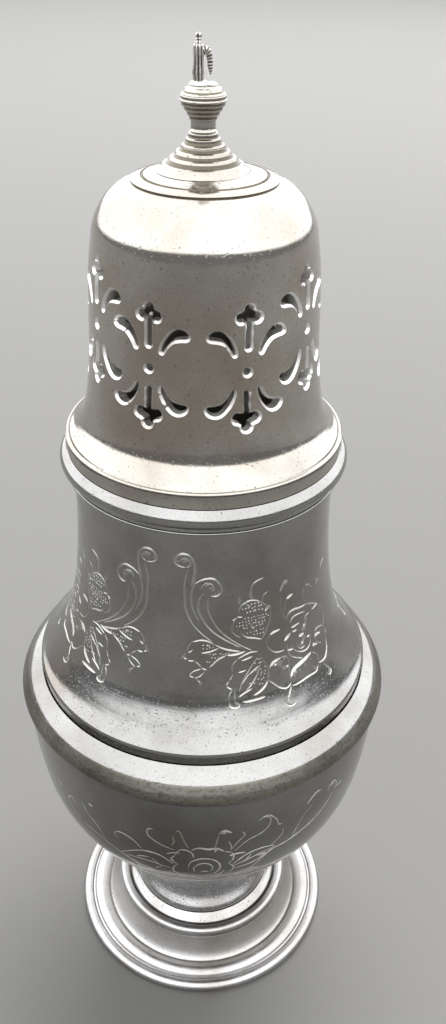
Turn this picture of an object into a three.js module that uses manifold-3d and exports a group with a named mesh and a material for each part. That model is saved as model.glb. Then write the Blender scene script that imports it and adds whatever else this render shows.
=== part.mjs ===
// Sugar caster: a round baluster body on a stepped foot, under a pierced cover that pushes into the neck.
// Millimetres, +Z up. The origin is on the table, at the middle of the foot.
import * as THREE from "three";
import { mergeVertices } from "three/addons/utils/BufferGeometryUtils.js";
import Module from "manifold-3d";

// Fits and walls
const slipFit = 0.3; // gap round a ring or a tube that fits into another
const bodyWall = 1.2; // sheet of the foot, stem, bowl and upper body
const coverWall = 1.8; // the cover is cast thicker, as its pierced edges show

// Foot, from the table up
const footRadius = 26.4; // outside of the standing wire
const wireHeight = 2.4;
const wireWidth = 2.2;
const footEdgeHeight = 2.0; // top of the foot's outer edge, in the groove behind the wire
const footBandWidth = 3.3; // the raised band between the wire and the crease
const footBandRise = 0.9;
const footSlopeWidth = 2.6; // the hollow slope above the crease
const footSlopeRise = 4.6;
const footBeadWidth = 2.0;
const stemSkirtRise = 1.7; // upright edge of the stem inside the bead
const stemRise = 18.9; // from that edge to the bowl
const stemRadius = 9.0; // at its narrowest
const stemTopRadius = 11.0;

// Bowl and shoulder
const bowlRise = 37.6;
const bowlRadius = 32.7; // at its upper edge
const girdleRise = 5.5;
const girdleBulge = 0.8; // how far the girdle stands out from the bowl's edge
const girdleDepth = 2.0; // from the bowl's edge in to the shoulder
const ledgeHeight = 1.0; // ledge inside the girdle, which the upper body stands on
const ledgeWidth = 2.0;
const coveWidth = 1.1; // the small hollow between the girdle and the shoulder
const coveRise = 2.2;

// Upper body and neck
const waistRise = 37.8;
const waistRadius = 21.3; // outside, at its top
const neckRise = 4.5; // the straight neck that the cover's sleeve fits into
const bandHeight = 1.1;
const bandWidth = 0.5;
const lipBeadHeight = 2.8;
const lipBeadWidth = 1.55;
const lipBeadDrop = 0.4; // from the neck's edge down to the bead

// Cover
const sleeveWall = 1.0;
const sleeveReach = 12.4;
const sleeveClearance = 0.3; // between the sleeve's top and the cover
const coverRimHeight = 2.7;
const coverRimWidth = 1.9;
const coverRimHollow = 0.25; // of the hollow side of the rim
const coverRimEdge = 0.3; // height of the fine edge at its top
const domeRadius = 17.15; // outside of the wall, half way up
const flareRise = 8.4; // the foot of the wall spreads to the rim over this height
const wallRise = 22.9;
const crownRise = 6.4;
const crownRadius = 10.4; // edge of the stepped plate
const plateStep = 1.7; // width of each step of the plate
const plateRise = 1.3;

// Pierced rosettes, measured round and up the wall
const rosetteGroups = 3; // each is a low pair with a high one after it
const pairHalfAngle = 23; // degrees from a group's middle to each low rosette
const firstGroupAngle = -2.5; // degrees, from the front to the right
const lowRosetteHeight = 15.9; // above the cover's lower edge
const highRosetteLift = 3.6;
const eyeRadius = 0.75; // the round hole at the middle
const leafStart = 3.1; // from the middle to the stalk's inner end
const leafReach = 9.4; // to the tip of the three lobes
const lobeRadius = 0.85;
const lobeSpread = 0.95; // from the middle to each side lobe
const lobeDrop = 0.9; // from the top lobe down to the side lobes
const stalkWidth = 0.6;
const commaReach = 5.4; // across and up, from the middle to the fat end of a comma
const commaFatWidth = 1.7;
const commaThinWidth = 0.55;

// Finial
const trumpetRadius = 6.6;
const trumpetRise = 4.9;
const spoolRadius = 1.85;
const spoolRise = 1.7;
const urnRadius = 3.12;
const urnRise = 4.1;
const urnTopRadius = 1.95;
const capRise = 0.55;
const capMargin = 0.3; // of the cap round the post
const postRadius = 0.65;
const postRise = 4.4;
const postOffset = 0.55; // the post stands to the left of the urn's middle
const tipNeckRadius = 0.36;
const tipNeckRise = 0.9;
const tipBallRadius = 0.42;
const leafThickness = 0.6;
const leafOverhang = 1.0; // to the right of the urn's middle
const leafDrop = 3.4;
const leafShoulder = 0.5; // from the post's top down to where the leaf springs

// Screw that holds the finial, inside the cover
const studRadius = 0.9;
const studClearance = 0.3;
const studGrip = 2.4; // how far it enters the finial
const washerRadius = 2.6;
const washerThickness = 0.6;
const nutRadius = 2.4;
const nutThickness = 1.5;
const studEnd = 0.8; // what shows below the nut

// Faces round each turned piece
const largeFaces = 32;
const smallFaces = 16;
const tinyFaces = 8;
const curveSteps = 2; // straight runs between two points of a curve

const silver = { color: 0xb9b5ac, roughness: 0.24, metalness: 1.0 };
const wornSilver = { color: 0xa19c90, roughness: 0.38, metalness: 1.0 };
const innerMetal = { color: 0x8c8576, roughness: 0.5, metalness: 1.0 };

const caster = new THREE.Group();
const wasm = await Module();
wasm.setup();

function addPiece(name, geometry, look) {
  const piece = new THREE.Mesh(geometry, new THREE.MeshStandardMaterial(look));
  piece.name = name;
  caster.add(piece);
  return piece;
}

// Outlines are lists of [radius, height].
function smooth(points) {
  const curve = new THREE.SplineCurve(points.map(([r, z]) => new THREE.Vector2(r, z)));
  return curve.getPoints(curveSteps * (points.length - 1)).map((p) => [p.x, p.y]);
}

// Points between two ends, given by the shares of the way across and up.
function between(from, to, shares) {
  return shares.map(([across, up]) => [
    from[0] + (to[0] - from[0]) * across,
    from[1] + (to[1] - from[1]) * up,
  ]);
}

function arc(centre, radius, startDegrees, endDegrees, steps) {
  const points = [];
  for (let i = 0; i <= steps; i += 1) {
    const angle = THREE.MathUtils.degToRad(startDegrees + ((endDegrees - startDegrees) * i) / steps);
    points.push([centre[0] + radius * Math.cos(angle), centre[1] + radius * Math.sin(angle)]);
  }
  return points;
}

// The inner side of a sheet whose outer side is given from its foot to its top.
function innerSide(outer, wall) {
  return outer.map((point, i) => {
    const before = outer[Math.max(i - 1, 0)];
    const after = outer[Math.min(i + 1, outer.length - 1)];
    const across = after[0] - before[0];
    const up = after[1] - before[1];
    const length = Math.hypot(across, up);
    return [point[0] - (wall * up) / length, point[1] + (wall * across) / length];
  });
}

function turned(outline, faces) {
  const profile = outline.map(([r, z]) => new THREE.Vector2(r, z));
  const closesOnAxis = profile[0].x === 0 && profile[profile.length - 1].x === 0;
  if (!closesOnAxis) profile.push(profile[0].clone());
  return new THREE.LatheGeometry(profile, faces).rotateX(Math.PI / 2);
}

function solidOf(geometry) {
  const bare = geometry.clone();
  bare.deleteAttribute("normal");
  bare.deleteAttribute("uv");
  const merged = mergeVertices(bare);
  return new wasm.Manifold(
    new wasm.Mesh({
      numProp: 3,
      vertProperties: merged.attributes.position.array,
      triVerts: new Uint32Array(merged.index.array),
    }),
  );
}

function geometryOf(solid) {
  const mesh = solid.getMesh();
  const geometry = new THREE.BufferGeometry();
  geometry.setAttribute("position", new THREE.BufferAttribute(mesh.vertProperties, 3));
  geometry.setIndex(new THREE.BufferAttribute(mesh.triVerts, 1));
  geometry.computeVertexNormals();
  return geometry;
}

// Foot
const footEdgeRadius = footRadius - wireWidth;
const wireBulge = wireHeight / 2;
const wireTopAngle = 130;
const wireSteps = 6;
const footRimWire = [
  [footEdgeRadius, 0],
  ...arc([footRadius - wireBulge, wireBulge], wireBulge, -90, wireTopAngle, wireSteps),
  [footEdgeRadius, footEdgeHeight],
];
addPiece("foot_rim_wire", turned(footRimWire, largeFaces), silver);

const domeEdgeRadius = footEdgeRadius - slipFit;
const creaseRadius = domeEdgeRadius - footBandWidth;
const slopeTopRadius = creaseRadius - footSlopeWidth;
const footTop = footEdgeHeight + footSlopeRise;
const beadRadius = footBeadWidth / 2;
const beadMiddle = slopeTopRadius - beadRadius;
const stemSkirtRadius = beadMiddle - beadRadius - slipFit;
const stemSkirtBore = stemSkirtRadius - bodyWall;
const slopeShares = [[0, 0], [0.65, 0.38], [1, 1]];
const footOuter = [
  ...smooth([
    [domeEdgeRadius, footEdgeHeight],
    [domeEdgeRadius - footBandWidth / 2, footEdgeHeight + footBandRise],
    [creaseRadius, footEdgeHeight],
  ]),
  ...smooth(between([creaseRadius, footEdgeHeight], [slopeTopRadius, footTop], slopeShares)).slice(1),
  [stemSkirtBore, footTop],
];
const footDome = [...footOuter, ...innerSide(footOuter, bodyWall).reverse()];
addPiece("foot_dome", turned(footDome, largeFaces), silver);

const beadFlatAngle = 55;
const beadSteps = 6;
const footBeadHeight = footTop + beadRadius * Math.sin(THREE.MathUtils.degToRad(beadFlatAngle));
const footBead = arc(
  [beadMiddle, footBeadHeight],
  beadRadius,
  -beadFlatAngle,
  180 + beadFlatAngle,
  beadSteps,
);
addPiece("foot_bead", turned(footBead, largeFaces), silver);

// Stem
const stemFoot = footTop + stemSkirtRise;
const bowlBase = stemFoot + stemRise;
const stemNarrowShare = 0.67; // of its rise
const stemFallShares = [[0, 0], [0.63, 0.37], [1, 1]];
const stemSpreadShares = [[0, 0], [0.3, 0.62], [1, 1]];
const stemNarrow = [stemRadius, stemFoot + stemRise * stemNarrowShare];
const stemOuter = [
  [stemSkirtRadius, footTop],
  ...smooth(between([stemSkirtRadius, stemFoot], stemNarrow, stemFallShares)),
  ...smooth(between(stemNarrow, [stemTopRadius, bowlBase], stemSpreadShares)).slice(1),
];
const stemInner = stemOuter.map(([r, z]) => [r - bodyWall, z]);
addPiece("stem", turned([...stemOuter, ...stemInner.reverse()], largeFaces), silver);

// Bowl
const bowlEdge = bowlBase + bowlRise;
const bowlShares = [[0, 0], [0.405, 0.08], [0.783, 0.327], [0.96, 0.7], [1, 1]];
const bowlOuter = smooth(between([stemTopRadius, bowlBase], [bowlRadius, bowlEdge], bowlShares));
const bowlInner = innerSide(bowlOuter, bodyWall);
bowlInner[0] = [stemTopRadius, bowlBase + bodyWall];
bowlInner[bowlInner.length - 1] = [bowlRadius - bodyWall, bowlEdge];
const bowl = [[0, bowlBase], ...bowlOuter, ...bowlInner.reverse(), [0, bowlBase + bodyWall]];
addPiece("bowl", turned(bowl, largeFaces), silver);

// Girdle over the joint of the bowl and the upper body
const girdleBore = bowlRadius - girdleDepth;
const girdleTop = bowlEdge + girdleRise;
const ledgeTop = bowlEdge + ledgeHeight;
const ledgeBore = girdleBore - ledgeWidth;
const girdleShares = [[0.73, 0], [0.93, 0.2], [1, 0.42], [0.9, 0.7], [0.6, 0.91], [0.12, 1], [0, 1]];
const girdleOuter = between([girdleBore, bowlEdge], [bowlRadius + girdleBulge, girdleTop], girdleShares);
const girdle = [[ledgeBore, bowlEdge], ...girdleOuter, [girdleBore, ledgeTop], [ledgeBore, ledgeTop]];
addPiece("shoulder_girdle", turned(girdle, largeFaces), silver);

// Upper body, from the skirt inside the girdle to the neck's edge
const skirtRadius = girdleBore - slipFit;
const shoulderRadius = skirtRadius - coveWidth;
const shoulderHeight = girdleTop + coveRise;
const waistTop = shoulderHeight + waistRise;
const neckEdge = waistTop + neckRise;
const neckBore = waistRadius - bodyWall;
const coveShares = [[0, 0], [0.6, 0.25]];
const waistShares = [[0, 0], [0.41, 0.12], [0.79, 0.323], [0.99, 0.65], [1, 1]];
const upperOuter = [
  [skirtRadius, ledgeTop],
  ...between([skirtRadius, girdleTop], [shoulderRadius, shoulderHeight], coveShares),
  ...smooth(between([shoulderRadius, shoulderHeight], [waistRadius, waistTop], waistShares)),
  [waistRadius, neckEdge],
];
const upperInner = upperOuter.map(([r, z]) => [Math.max(r - bodyWall, neckBore), z]);
addPiece("upper_body", turned([...upperOuter, ...upperInner.reverse()], largeFaces), silver);

const collarBore = waistRadius + slipFit;
const lipBeadTop = neckEdge - lipBeadDrop;
const lipBeadFoot = lipBeadTop - lipBeadHeight;
const neckBand = [
  [collarBore, lipBeadFoot - bandHeight],
  [collarBore + bandWidth, lipBeadFoot - bandHeight],
  [collarBore + bandWidth, lipBeadFoot],
  [collarBore, lipBeadFoot],
];
addPiece("neck_band", turned(neckBand, largeFaces), silver);

const lipShares = [[0, 0], [0.42, 0.03], [0.84, 0.24], [1, 0.5], [0.84, 0.76], [0.42, 0.97], [0, 1]];
const lipBead = between(
  [collarBore, lipBeadFoot],
  [collarBore + lipBeadWidth, lipBeadTop],
  lipShares,
);
addPiece("lip_bead", turned(lipBead, largeFaces), silver);

// Cover: the sleeve that enters the neck, the rim that rests on it, and the pierced dome
const coverFoot = neckEdge + coverRimHeight;
const sleeveRadius = neckBore - slipFit;
const sleeveBore = sleeveRadius - sleeveWall;
const sleeveTop = coverFoot - sleeveClearance;
const sleeve = [
  [sleeveBore, sleeveTop - sleeveReach],
  [sleeveRadius, sleeveTop - sleeveReach],
  [sleeveRadius, sleeveTop],
  [sleeveBore, sleeveTop],
];
addPiece("cover_sleeve", turned(sleeve, largeFaces), innerMetal);

const rimRadius = neckBore + coverRimWidth;
const coverRim = [
  [neckBore, neckEdge],
  [rimRadius - coverRimHollow / 2, neckEdge],
  [rimRadius - coverRimHollow, neckEdge + coverRimHeight / 2],
  [rimRadius, coverFoot - coverRimEdge],
  [rimRadius - coverRimEdge, coverFoot],
  [neckBore, coverFoot],
];
addPiece("cover_rim", turned(coverRim, largeFaces), silver);

const flareFoot = [rimRadius - coverRimEdge * 2, coverFoot];
const flareTop = coverFoot + flareRise;
const crownHeight = flareTop + wallRise + crownRise;
const flareShares = [[0, 0], [0.4, 0.14], [0.78, 0.45]]; // from the rim in to the wall
const wallShares = [[1.045, 0], [1.005, 0.35], [0.982, 0.745]]; // of the dome's radius and the wall's rise
const shoulderShare = 0.932; // of the dome's radius, at the top of the wall
const crownShares = [[0, 0], [0.45, 0.7], [1, 1]];
const studBore = studRadius + studClearance;
const shoulderTop = [domeRadius * shoulderShare, flareTop + wallRise];
const domeWall = [
  ...wallShares.map(([out, up]) => [domeRadius * out, flareTop + wallRise * up]),
  ...smooth(between(shoulderTop, [crownRadius, crownHeight], crownShares)),
];
const domeWallInner = innerSide(domeWall, coverWall);
domeWallInner[domeWallInner.length - 1] = [crownRadius - coverWall / 2, crownHeight - coverWall];
const dome = [
  [sleeveBore, coverFoot],
  ...between(flareFoot, domeWall[0], flareShares),
  ...domeWall,
  [studBore, crownHeight],
  [studBore, crownHeight - coverWall],
  ...domeWallInner.reverse(),
];

// Openings of one rosette, as outlines of [across, up] from its middle.
// A comma is a tail that bends out to a fat end, in the quarter that its two signs give.
const commaPathShares = [[0.34, 0.47], [0.45, 0.98], [1, 1]];
function commaOutline(side, lift) {
  const points = commaPathShares.map(([x, y]) => new THREE.Vector2(commaReach * x, commaReach * y));
  const path = new THREE.QuadraticBezierCurve(...points);
  const left = [];
  const right = [];
  for (let i = 0; i <= curveSteps; i += 1) {
    const share = i / curveSteps;
    const point = path.getPoint(share);
    const along = path.getTangent(share);
    const half = (commaThinWidth + (commaFatWidth - commaThinWidth) * share) / 2;
    left.push([point.x - along.y * half, point.y + along.x * half]);
    right.push([point.x + along.y * half, point.y - along.x * half]);
  }
  return [...right, ...left.reverse()].map(([x, y]) => [x * side, y * lift]);
}

// A leaf is a stalk that ends in three lobes.
function leafOutline(lift) {
  const lobeTop = leafReach - lobeRadius;
  const lobeSide = lobeTop - lobeDrop;
  return [
    [stalkWidth / 2, leafStart],
    ...arc([lobeSpread, lobeSide], lobeRadius, -80, 80, curveSteps),
    ...arc([0, lobeTop], lobeRadius, 20, 160, curveSteps),
    ...arc([-lobeSpread, lobeSide], lobeRadius, 100, 260, curveSteps),
    [-stalkWidth / 2, leafStart],
  ].map(([x, y]) => [x, y * lift]);
}

function eyeOutline() {
  return arc([0, 0], eyeRadius, 0, 360, tinyFaces).slice(1);
}

// A prism that cuts through the wall at an angle round the dome.
function wallCut(outline, degrees, height) {
  const shape = new THREE.Shape(outline.map(([x, y]) => new THREE.Vector2(x, y)));
  const cut = new THREE.ExtrudeGeometry(shape, { depth: domeRadius, bevelEnabled: false });
  cut.rotateX(Math.PI / 2);
  cut.translate(0, -domeRadius / 2, height);
  cut.rotateZ(THREE.MathUtils.degToRad(degrees));
  return solidOf(cut);
}

let domeSolid = solidOf(turned(dome, largeFaces));
const rosetteHeight = coverFoot + lowRosetteHeight;
const rosetteOutlines = [
  eyeOutline(),
  leafOutline(1),
  leafOutline(-1),
  commaOutline(1, 1),
  commaOutline(-1, 1),
  commaOutline(1, -1),
  commaOutline(-1, -1),
];
for (let group = 0; group < rosetteGroups; group += 1) {
  const middle = firstGroupAngle + (360 / rosetteGroups) * group;
  const places = [
    [middle - pairHalfAngle, rosetteHeight],
    [middle + pairHalfAngle, rosetteHeight],
    [middle + 180 / rosetteGroups, rosetteHeight + highRosetteLift],
  ];
  places.forEach(([degrees, height]) => {
    rosetteOutlines.forEach((outline) => {
      domeSolid = domeSolid.subtract(wallCut(outline, degrees, height));
    });
  });
}
addPiece("pierced_dome", geometryOf(domeSolid), silver);

// Crown and finial
const plateTop = crownHeight + plateRise;
const plateShares = [[1, 0.24], [0.84, 0.5], [0.8, 0.62]];
const crownPlate = [
  [studBore, crownHeight],
  [crownRadius, crownHeight],
  ...between([0, crownHeight], [crownRadius, plateTop], plateShares),
  [crownRadius - plateStep * 2, plateTop],
  [studBore, plateTop],
];
addPiece("crown_plate", turned(crownPlate, largeFaces), silver);

const trumpetTop = plateTop + trumpetRise;
const trumpetShares = [
  [0, 0],
  [0.13, 0.1],
  [0.2, 0.28],
  [0.42, 0.33],
  [0.48, 0.52],
  [0.68, 0.6],
  [0.76, 0.78],
  [0.92, 0.88],
  [1, 1],
];
const trumpetOuter = between([trumpetRadius, plateTop], [spoolRadius, trumpetTop], trumpetShares);
const studSocket = plateTop + studGrip;
const finialBase = [
  [0, studSocket],
  [studBore, studSocket],
  [studBore, plateTop],
  ...trumpetOuter,
  [0, trumpetTop],
];
addPiece("finial_base", turned(finialBase, smallFaces), silver);

const spoolTop = trumpetTop + spoolRise;
const urnTop = spoolTop + urnRise;
const spoolWaistShare = 0.93;
const urnShares = [[0, 0], [0.4, 0.22], [0.55, 0.32], [0.96, 0.48], [1, 0.62], [0.75, 0.8], [0.5, 0.9]];
const finialKnop = [
  [0, trumpetTop],
  [spoolRadius, trumpetTop],
  [spoolRadius * spoolWaistShare, trumpetTop + spoolRise / 2],
  ...between([spoolRadius, spoolTop], [urnRadius, urnTop], urnShares),
  [urnTopRadius, urnTop],
  [0, urnTop],
];
addPiece("finial_knop", turned(finialKnop, smallFaces), silver);

const capTop = urnTop + capRise;
const capTopRadius = postOffset + postRadius;
const finialCap = [[0, urnTop], [capTopRadius + capMargin, urnTop], [capTopRadius, capTop], [0, capTop]];
addPiece("finial_cap", turned(finialCap, smallFaces), silver);

// Upright post with a ball, and a ribbed leaf that droops from its shoulder
const postTop = capTop + postRise;
const postShares = [[1, 0], [0.92, 0.5], [1, 0.82], [0.7, 1]];
const post = [[0, capTop], ...between([0, capTop], [postRadius, postTop], postShares), [0, postTop]];
addPiece("finial_post", turned(post, tinyFaces), wornSilver).position.x = -postOffset;

const ballMiddle = [0, postTop + tipNeckRise];
const ballAngles = [-50, 60];
const tip = [
  [0, postTop],
  [tipNeckRadius, postTop],
  ...arc(ballMiddle, tipBallRadius, ...ballAngles, curveSteps),
  [0, ballMiddle[1] + tipBallRadius],
];
addPiece("finial_tip", turned(tip, tinyFaces), wornSilver).position.x = -postOffset;

const leafTop = postTop - leafShoulder;
const leafFromX = -postOffset + postRadius + slipFit;
const leafShares = [[0, 0], [0.55, -0.02], [0.9, 0.2], [1, 0.55], [1, 1]];
const leafPoints = between([leafFromX, leafTop], [leafOverhang, leafTop - leafDrop], leafShares);
const leafPath = new THREE.CatmullRomCurve3(leafPoints.map(([x, z]) => new THREE.Vector3(x, 0, z)));
const leafSection = new THREE.Shape(
  arc([0, 0], leafThickness / 2, 0, 360, tinyFaces)
    .slice(1)
    .map(([x, y]) => new THREE.Vector2(x, y)),
);
const leafSteps = 8;
const leafTube = new THREE.ExtrudeGeometry(leafSection, { steps: leafSteps, extrudePath: leafPath });
addPiece("finial_leaf", leafTube, wornSilver);

// Screw, washer and nut that draw the finial down on the crown
const washerTop = crownHeight - coverWall;
const nutTop = washerTop - washerThickness;
const studFoot = nutTop - nutThickness - studEnd;
const studTop = studSocket - studClearance;
const stud = [[0, studFoot], [studRadius, studFoot], [studRadius, studTop], [0, studTop]];
addPiece("finial_stud", turned(stud, smallFaces), innerMetal);

const washer = [
  [studBore, nutTop],
  [washerRadius, nutTop],
  [washerRadius, washerTop],
  [studBore, washerTop],
];
addPiece("stud_washer", turned(washer, smallFaces), innerMetal);

const nutFaces = 6;
const nut = [
  [studBore, nutTop - nutThickness],
  [nutRadius, nutTop - nutThickness],
  [nutRadius, nutTop],
  [studBore, nutTop],
];
addPiece("stud_nut", turned(nut, nutFaces), innerMetal);

export default caster;
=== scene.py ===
import math
import random

import bpy
import numpy as np
from mathutils import Matrix, Vector
from mathutils.geometry import delaunay_2d_cdt


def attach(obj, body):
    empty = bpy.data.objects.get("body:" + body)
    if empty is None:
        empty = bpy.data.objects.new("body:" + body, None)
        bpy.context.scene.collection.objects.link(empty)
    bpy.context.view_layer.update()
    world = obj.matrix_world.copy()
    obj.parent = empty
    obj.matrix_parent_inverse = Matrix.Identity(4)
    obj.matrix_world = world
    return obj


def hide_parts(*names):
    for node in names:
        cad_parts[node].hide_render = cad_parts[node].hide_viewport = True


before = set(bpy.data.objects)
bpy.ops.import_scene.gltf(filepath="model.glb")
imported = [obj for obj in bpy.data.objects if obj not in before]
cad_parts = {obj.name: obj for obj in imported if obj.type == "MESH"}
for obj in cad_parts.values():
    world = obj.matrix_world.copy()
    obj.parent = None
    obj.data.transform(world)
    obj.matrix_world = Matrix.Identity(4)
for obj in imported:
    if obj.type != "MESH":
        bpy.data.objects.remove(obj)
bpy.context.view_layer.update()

scene = bpy.context.scene

# Foot rim wire
# A round silver wire soldered round the edge of the foot, which the caster stands on. Like every
# turned piece, it is an outline of radii and heights in millimetres, spun about the upright axis.
MM = 0.001
LARGE_SIDES = 192
ON_AXIS = 1e-6  # a radius this small is a point on the axis
NO_LENGTH = 1e-12
CRISP_BEND = 38  # degrees by which an outline bends at a hard edge
LIKE_SLOPE = 0.8  # neighbouring cut faces that agree this well are shaded as one surface
# A piece lists its own finish first, then that of its cuts or its tarnish, then that of its inside. Some of
# these second finishes carry a painted highlight or a painted shade.
MAIN_FINISH, SECOND_FINISH, THIRD_FINISH = 0, 1, 2


def arc_run(middle, radius, start, end, steps):
    """Points along an arc, between two angles in degrees."""
    angles = np.radians(np.linspace(start, end, steps + 1))
    return [(middle[0] + radius * math.cos(a), middle[1] + radius * math.sin(a)) for a in angles]


def unit(step, otherwise):
    """The step made one long, or the other direction where it has no length."""
    length = np.linalg.norm(step)
    return step / length if length > NO_LENGTH else otherwise


def put_in_scene(name, corners, faces, finish_numbers):
    """A smooth mesh from corners in millimetres. Each face takes one of its piece's finishes."""
    mesh = bpy.data.meshes.new(name)
    mesh.from_pydata([(x * MM, y * MM, z * MM) for x, y, z in corners], [], faces)
    mesh.polygons.foreach_set("use_smooth", [True] * len(faces))
    mesh.polygons.foreach_set("material_index", finish_numbers)
    thing = bpy.data.objects.new(name, mesh)
    scene.collection.objects.link(thing)
    return thing


class Shell:
    """A turned piece in the making: its corners, its faces, a shading direction for each face's
    corners, and the number of each face's finish. A row is the strip that one step of the outline
    sweeps. Open rows are left out, for a cut sheet to fill."""

    def __init__(self, outline, sides=LARGE_SIDES, start=0.0, centre=(0.0, 0.0), open_rows=(),
                 row_finish=None):
        self.corners = []
        self.faces = []
        self.shading = []
        self.finish_number = {}
        self.sides = sides
        self.start = start
        self.centre = centre
        self.closed = outline[0][0] > ON_AXIS
        self.outline = [(float(r), float(z)) for r, z in outline]
        self.rings = [self.ring(r, z) for r, z in self.outline]
        row_finish = row_finish or {}
        for row in range(len(self.outline) - (0 if self.closed else 1)):
            if row in open_rows:
                continue
            for face in range(len(self.faces), len(self.faces) + self.sides):
                self.finish_number[face] = row_finish.get(row, MAIN_FINISH)
            self.quads(row)

    def place(self, degrees, radius, height):
        """Where a point of the outline comes when it has turned so far, from the front to the right."""
        a = math.radians(degrees)
        return (self.centre[0] + radius * math.sin(a), self.centre[1] - radius * math.cos(a), height)

    def ring(self, radius, height):
        """Adds the corners that one point of the outline leaves round the piece. Returns their numbers."""
        first = len(self.corners)
        if radius < ON_AXIS:
            self.corners.append(self.place(0, 0, height))
            return [first] * self.sides
        for k in range(self.sides):
            self.corners.append(self.place(self.start + 360 * k / self.sides, radius, height))
        return list(range(first, first + self.sides))

    def side_direction(self, row):
        """The way a row faces, outwards and upwards."""
        r0, z0 = self.outline[row]
        r1, z1 = self.outline[(row + 1) % len(self.outline)]
        length = math.hypot(r1 - r0, z1 - z0)
        return np.array([(z1 - z0) / length, (r0 - r1) / length])

    def corner_direction(self, row, point):
        """Soft where the outline bends gently, and crisp at an edge."""
        mine = self.side_direction(row)
        if not self.closed and (point == 0 or point == len(self.outline) - 1):
            return mine
        before = self.side_direction((point - 1) % len(self.outline))
        after = self.side_direction(point % len(self.outline))
        if before @ after < math.cos(math.radians(CRISP_BEND)):
            return mine
        return unit(before + after, mine)

    def quads(self, row):
        """Adds the faces of a row. Those that meet the axis have three corners."""
        top = (row + 1) % len(self.outline)
        low, high = self.rings[row], self.rings[top]
        out_low, out_high = self.corner_direction(row, row), self.corner_direction(row, top)
        for k in range(self.sides):
            face, shade = [], []
            for ring, out, column in ((low, out_low, k), (low, out_low, k + 1),
                                      (high, out_high, k + 1), (high, out_high, k)):
                corner = ring[column % self.sides]
                if corner in face:
                    continue
                a = math.radians(self.start + 360 * column / self.sides)
                face.append(corner)
                shade.append((out[0] * math.sin(a), -out[0] * math.cos(a), out[1]))
            self.faces.append(tuple(face))
            self.shading.append(shade)

    def shade_free_faces(self):
        """Cut faces have no outline to follow, so each corner takes the mean of its like neighbours."""
        corners = np.array(self.corners)
        free = [i for i, shade in enumerate(self.shading) if shade is None]
        flat = {}
        around = {}
        for i in free:
            loop = corners[list(self.faces[i])]
            out = sum(np.cross(loop[j] - loop[0], loop[j + 1] - loop[0]) for j in range(1, len(loop) - 1))
            flat[i] = (out, unit(out, np.array([0.0, 0.0, 1.0])))
            for corner in self.faces[i]:
                around.setdefault(corner, []).append(i)
        for i in free:
            shade = []
            for corner in self.faces[i]:
                total = np.zeros(3)
                for j in around[corner]:
                    if flat[i][1] @ flat[j][1] > LIKE_SLOPE:
                        total += flat[j][0]
                shade.append(tuple(unit(total, flat[i][1])))
            self.shading[i] = shade

    def piece(self, name):
        """Makes the piece, with its finishes and its shading."""
        numbers = [self.finish_number.get(i, MAIN_FINISH) for i in range(len(self.faces))]
        thing = put_in_scene(name, self.corners, self.faces, numbers)
        self.shade_free_faces()
        thing.data.normals_split_custom_set([out for shade in self.shading for out in shade])
        thing.data.update()
        return thing


def add_node(tree, kind, sockets, **settings):
    """Adds a node. Each socket takes a number, a colour or another node's output. Returns its outputs."""
    node = tree.nodes.new("ShaderNode" + kind)
    for setting, value in settings.items():
        setattr(node, setting, value)
    for socket, value in sockets.items():
        if isinstance(value, bpy.types.NodeSocket):
            tree.links.new(value, node.inputs[socket])
        else:
            node.inputs[socket].default_value = value
    return node.outputs


# The finish's patterns, as how many of their cells go into a metre.
CLOUDS = 75
STAINS = 38
SCRATCHES = 420
TURNED_LINES = 1500
RIPPLES = 140


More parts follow.
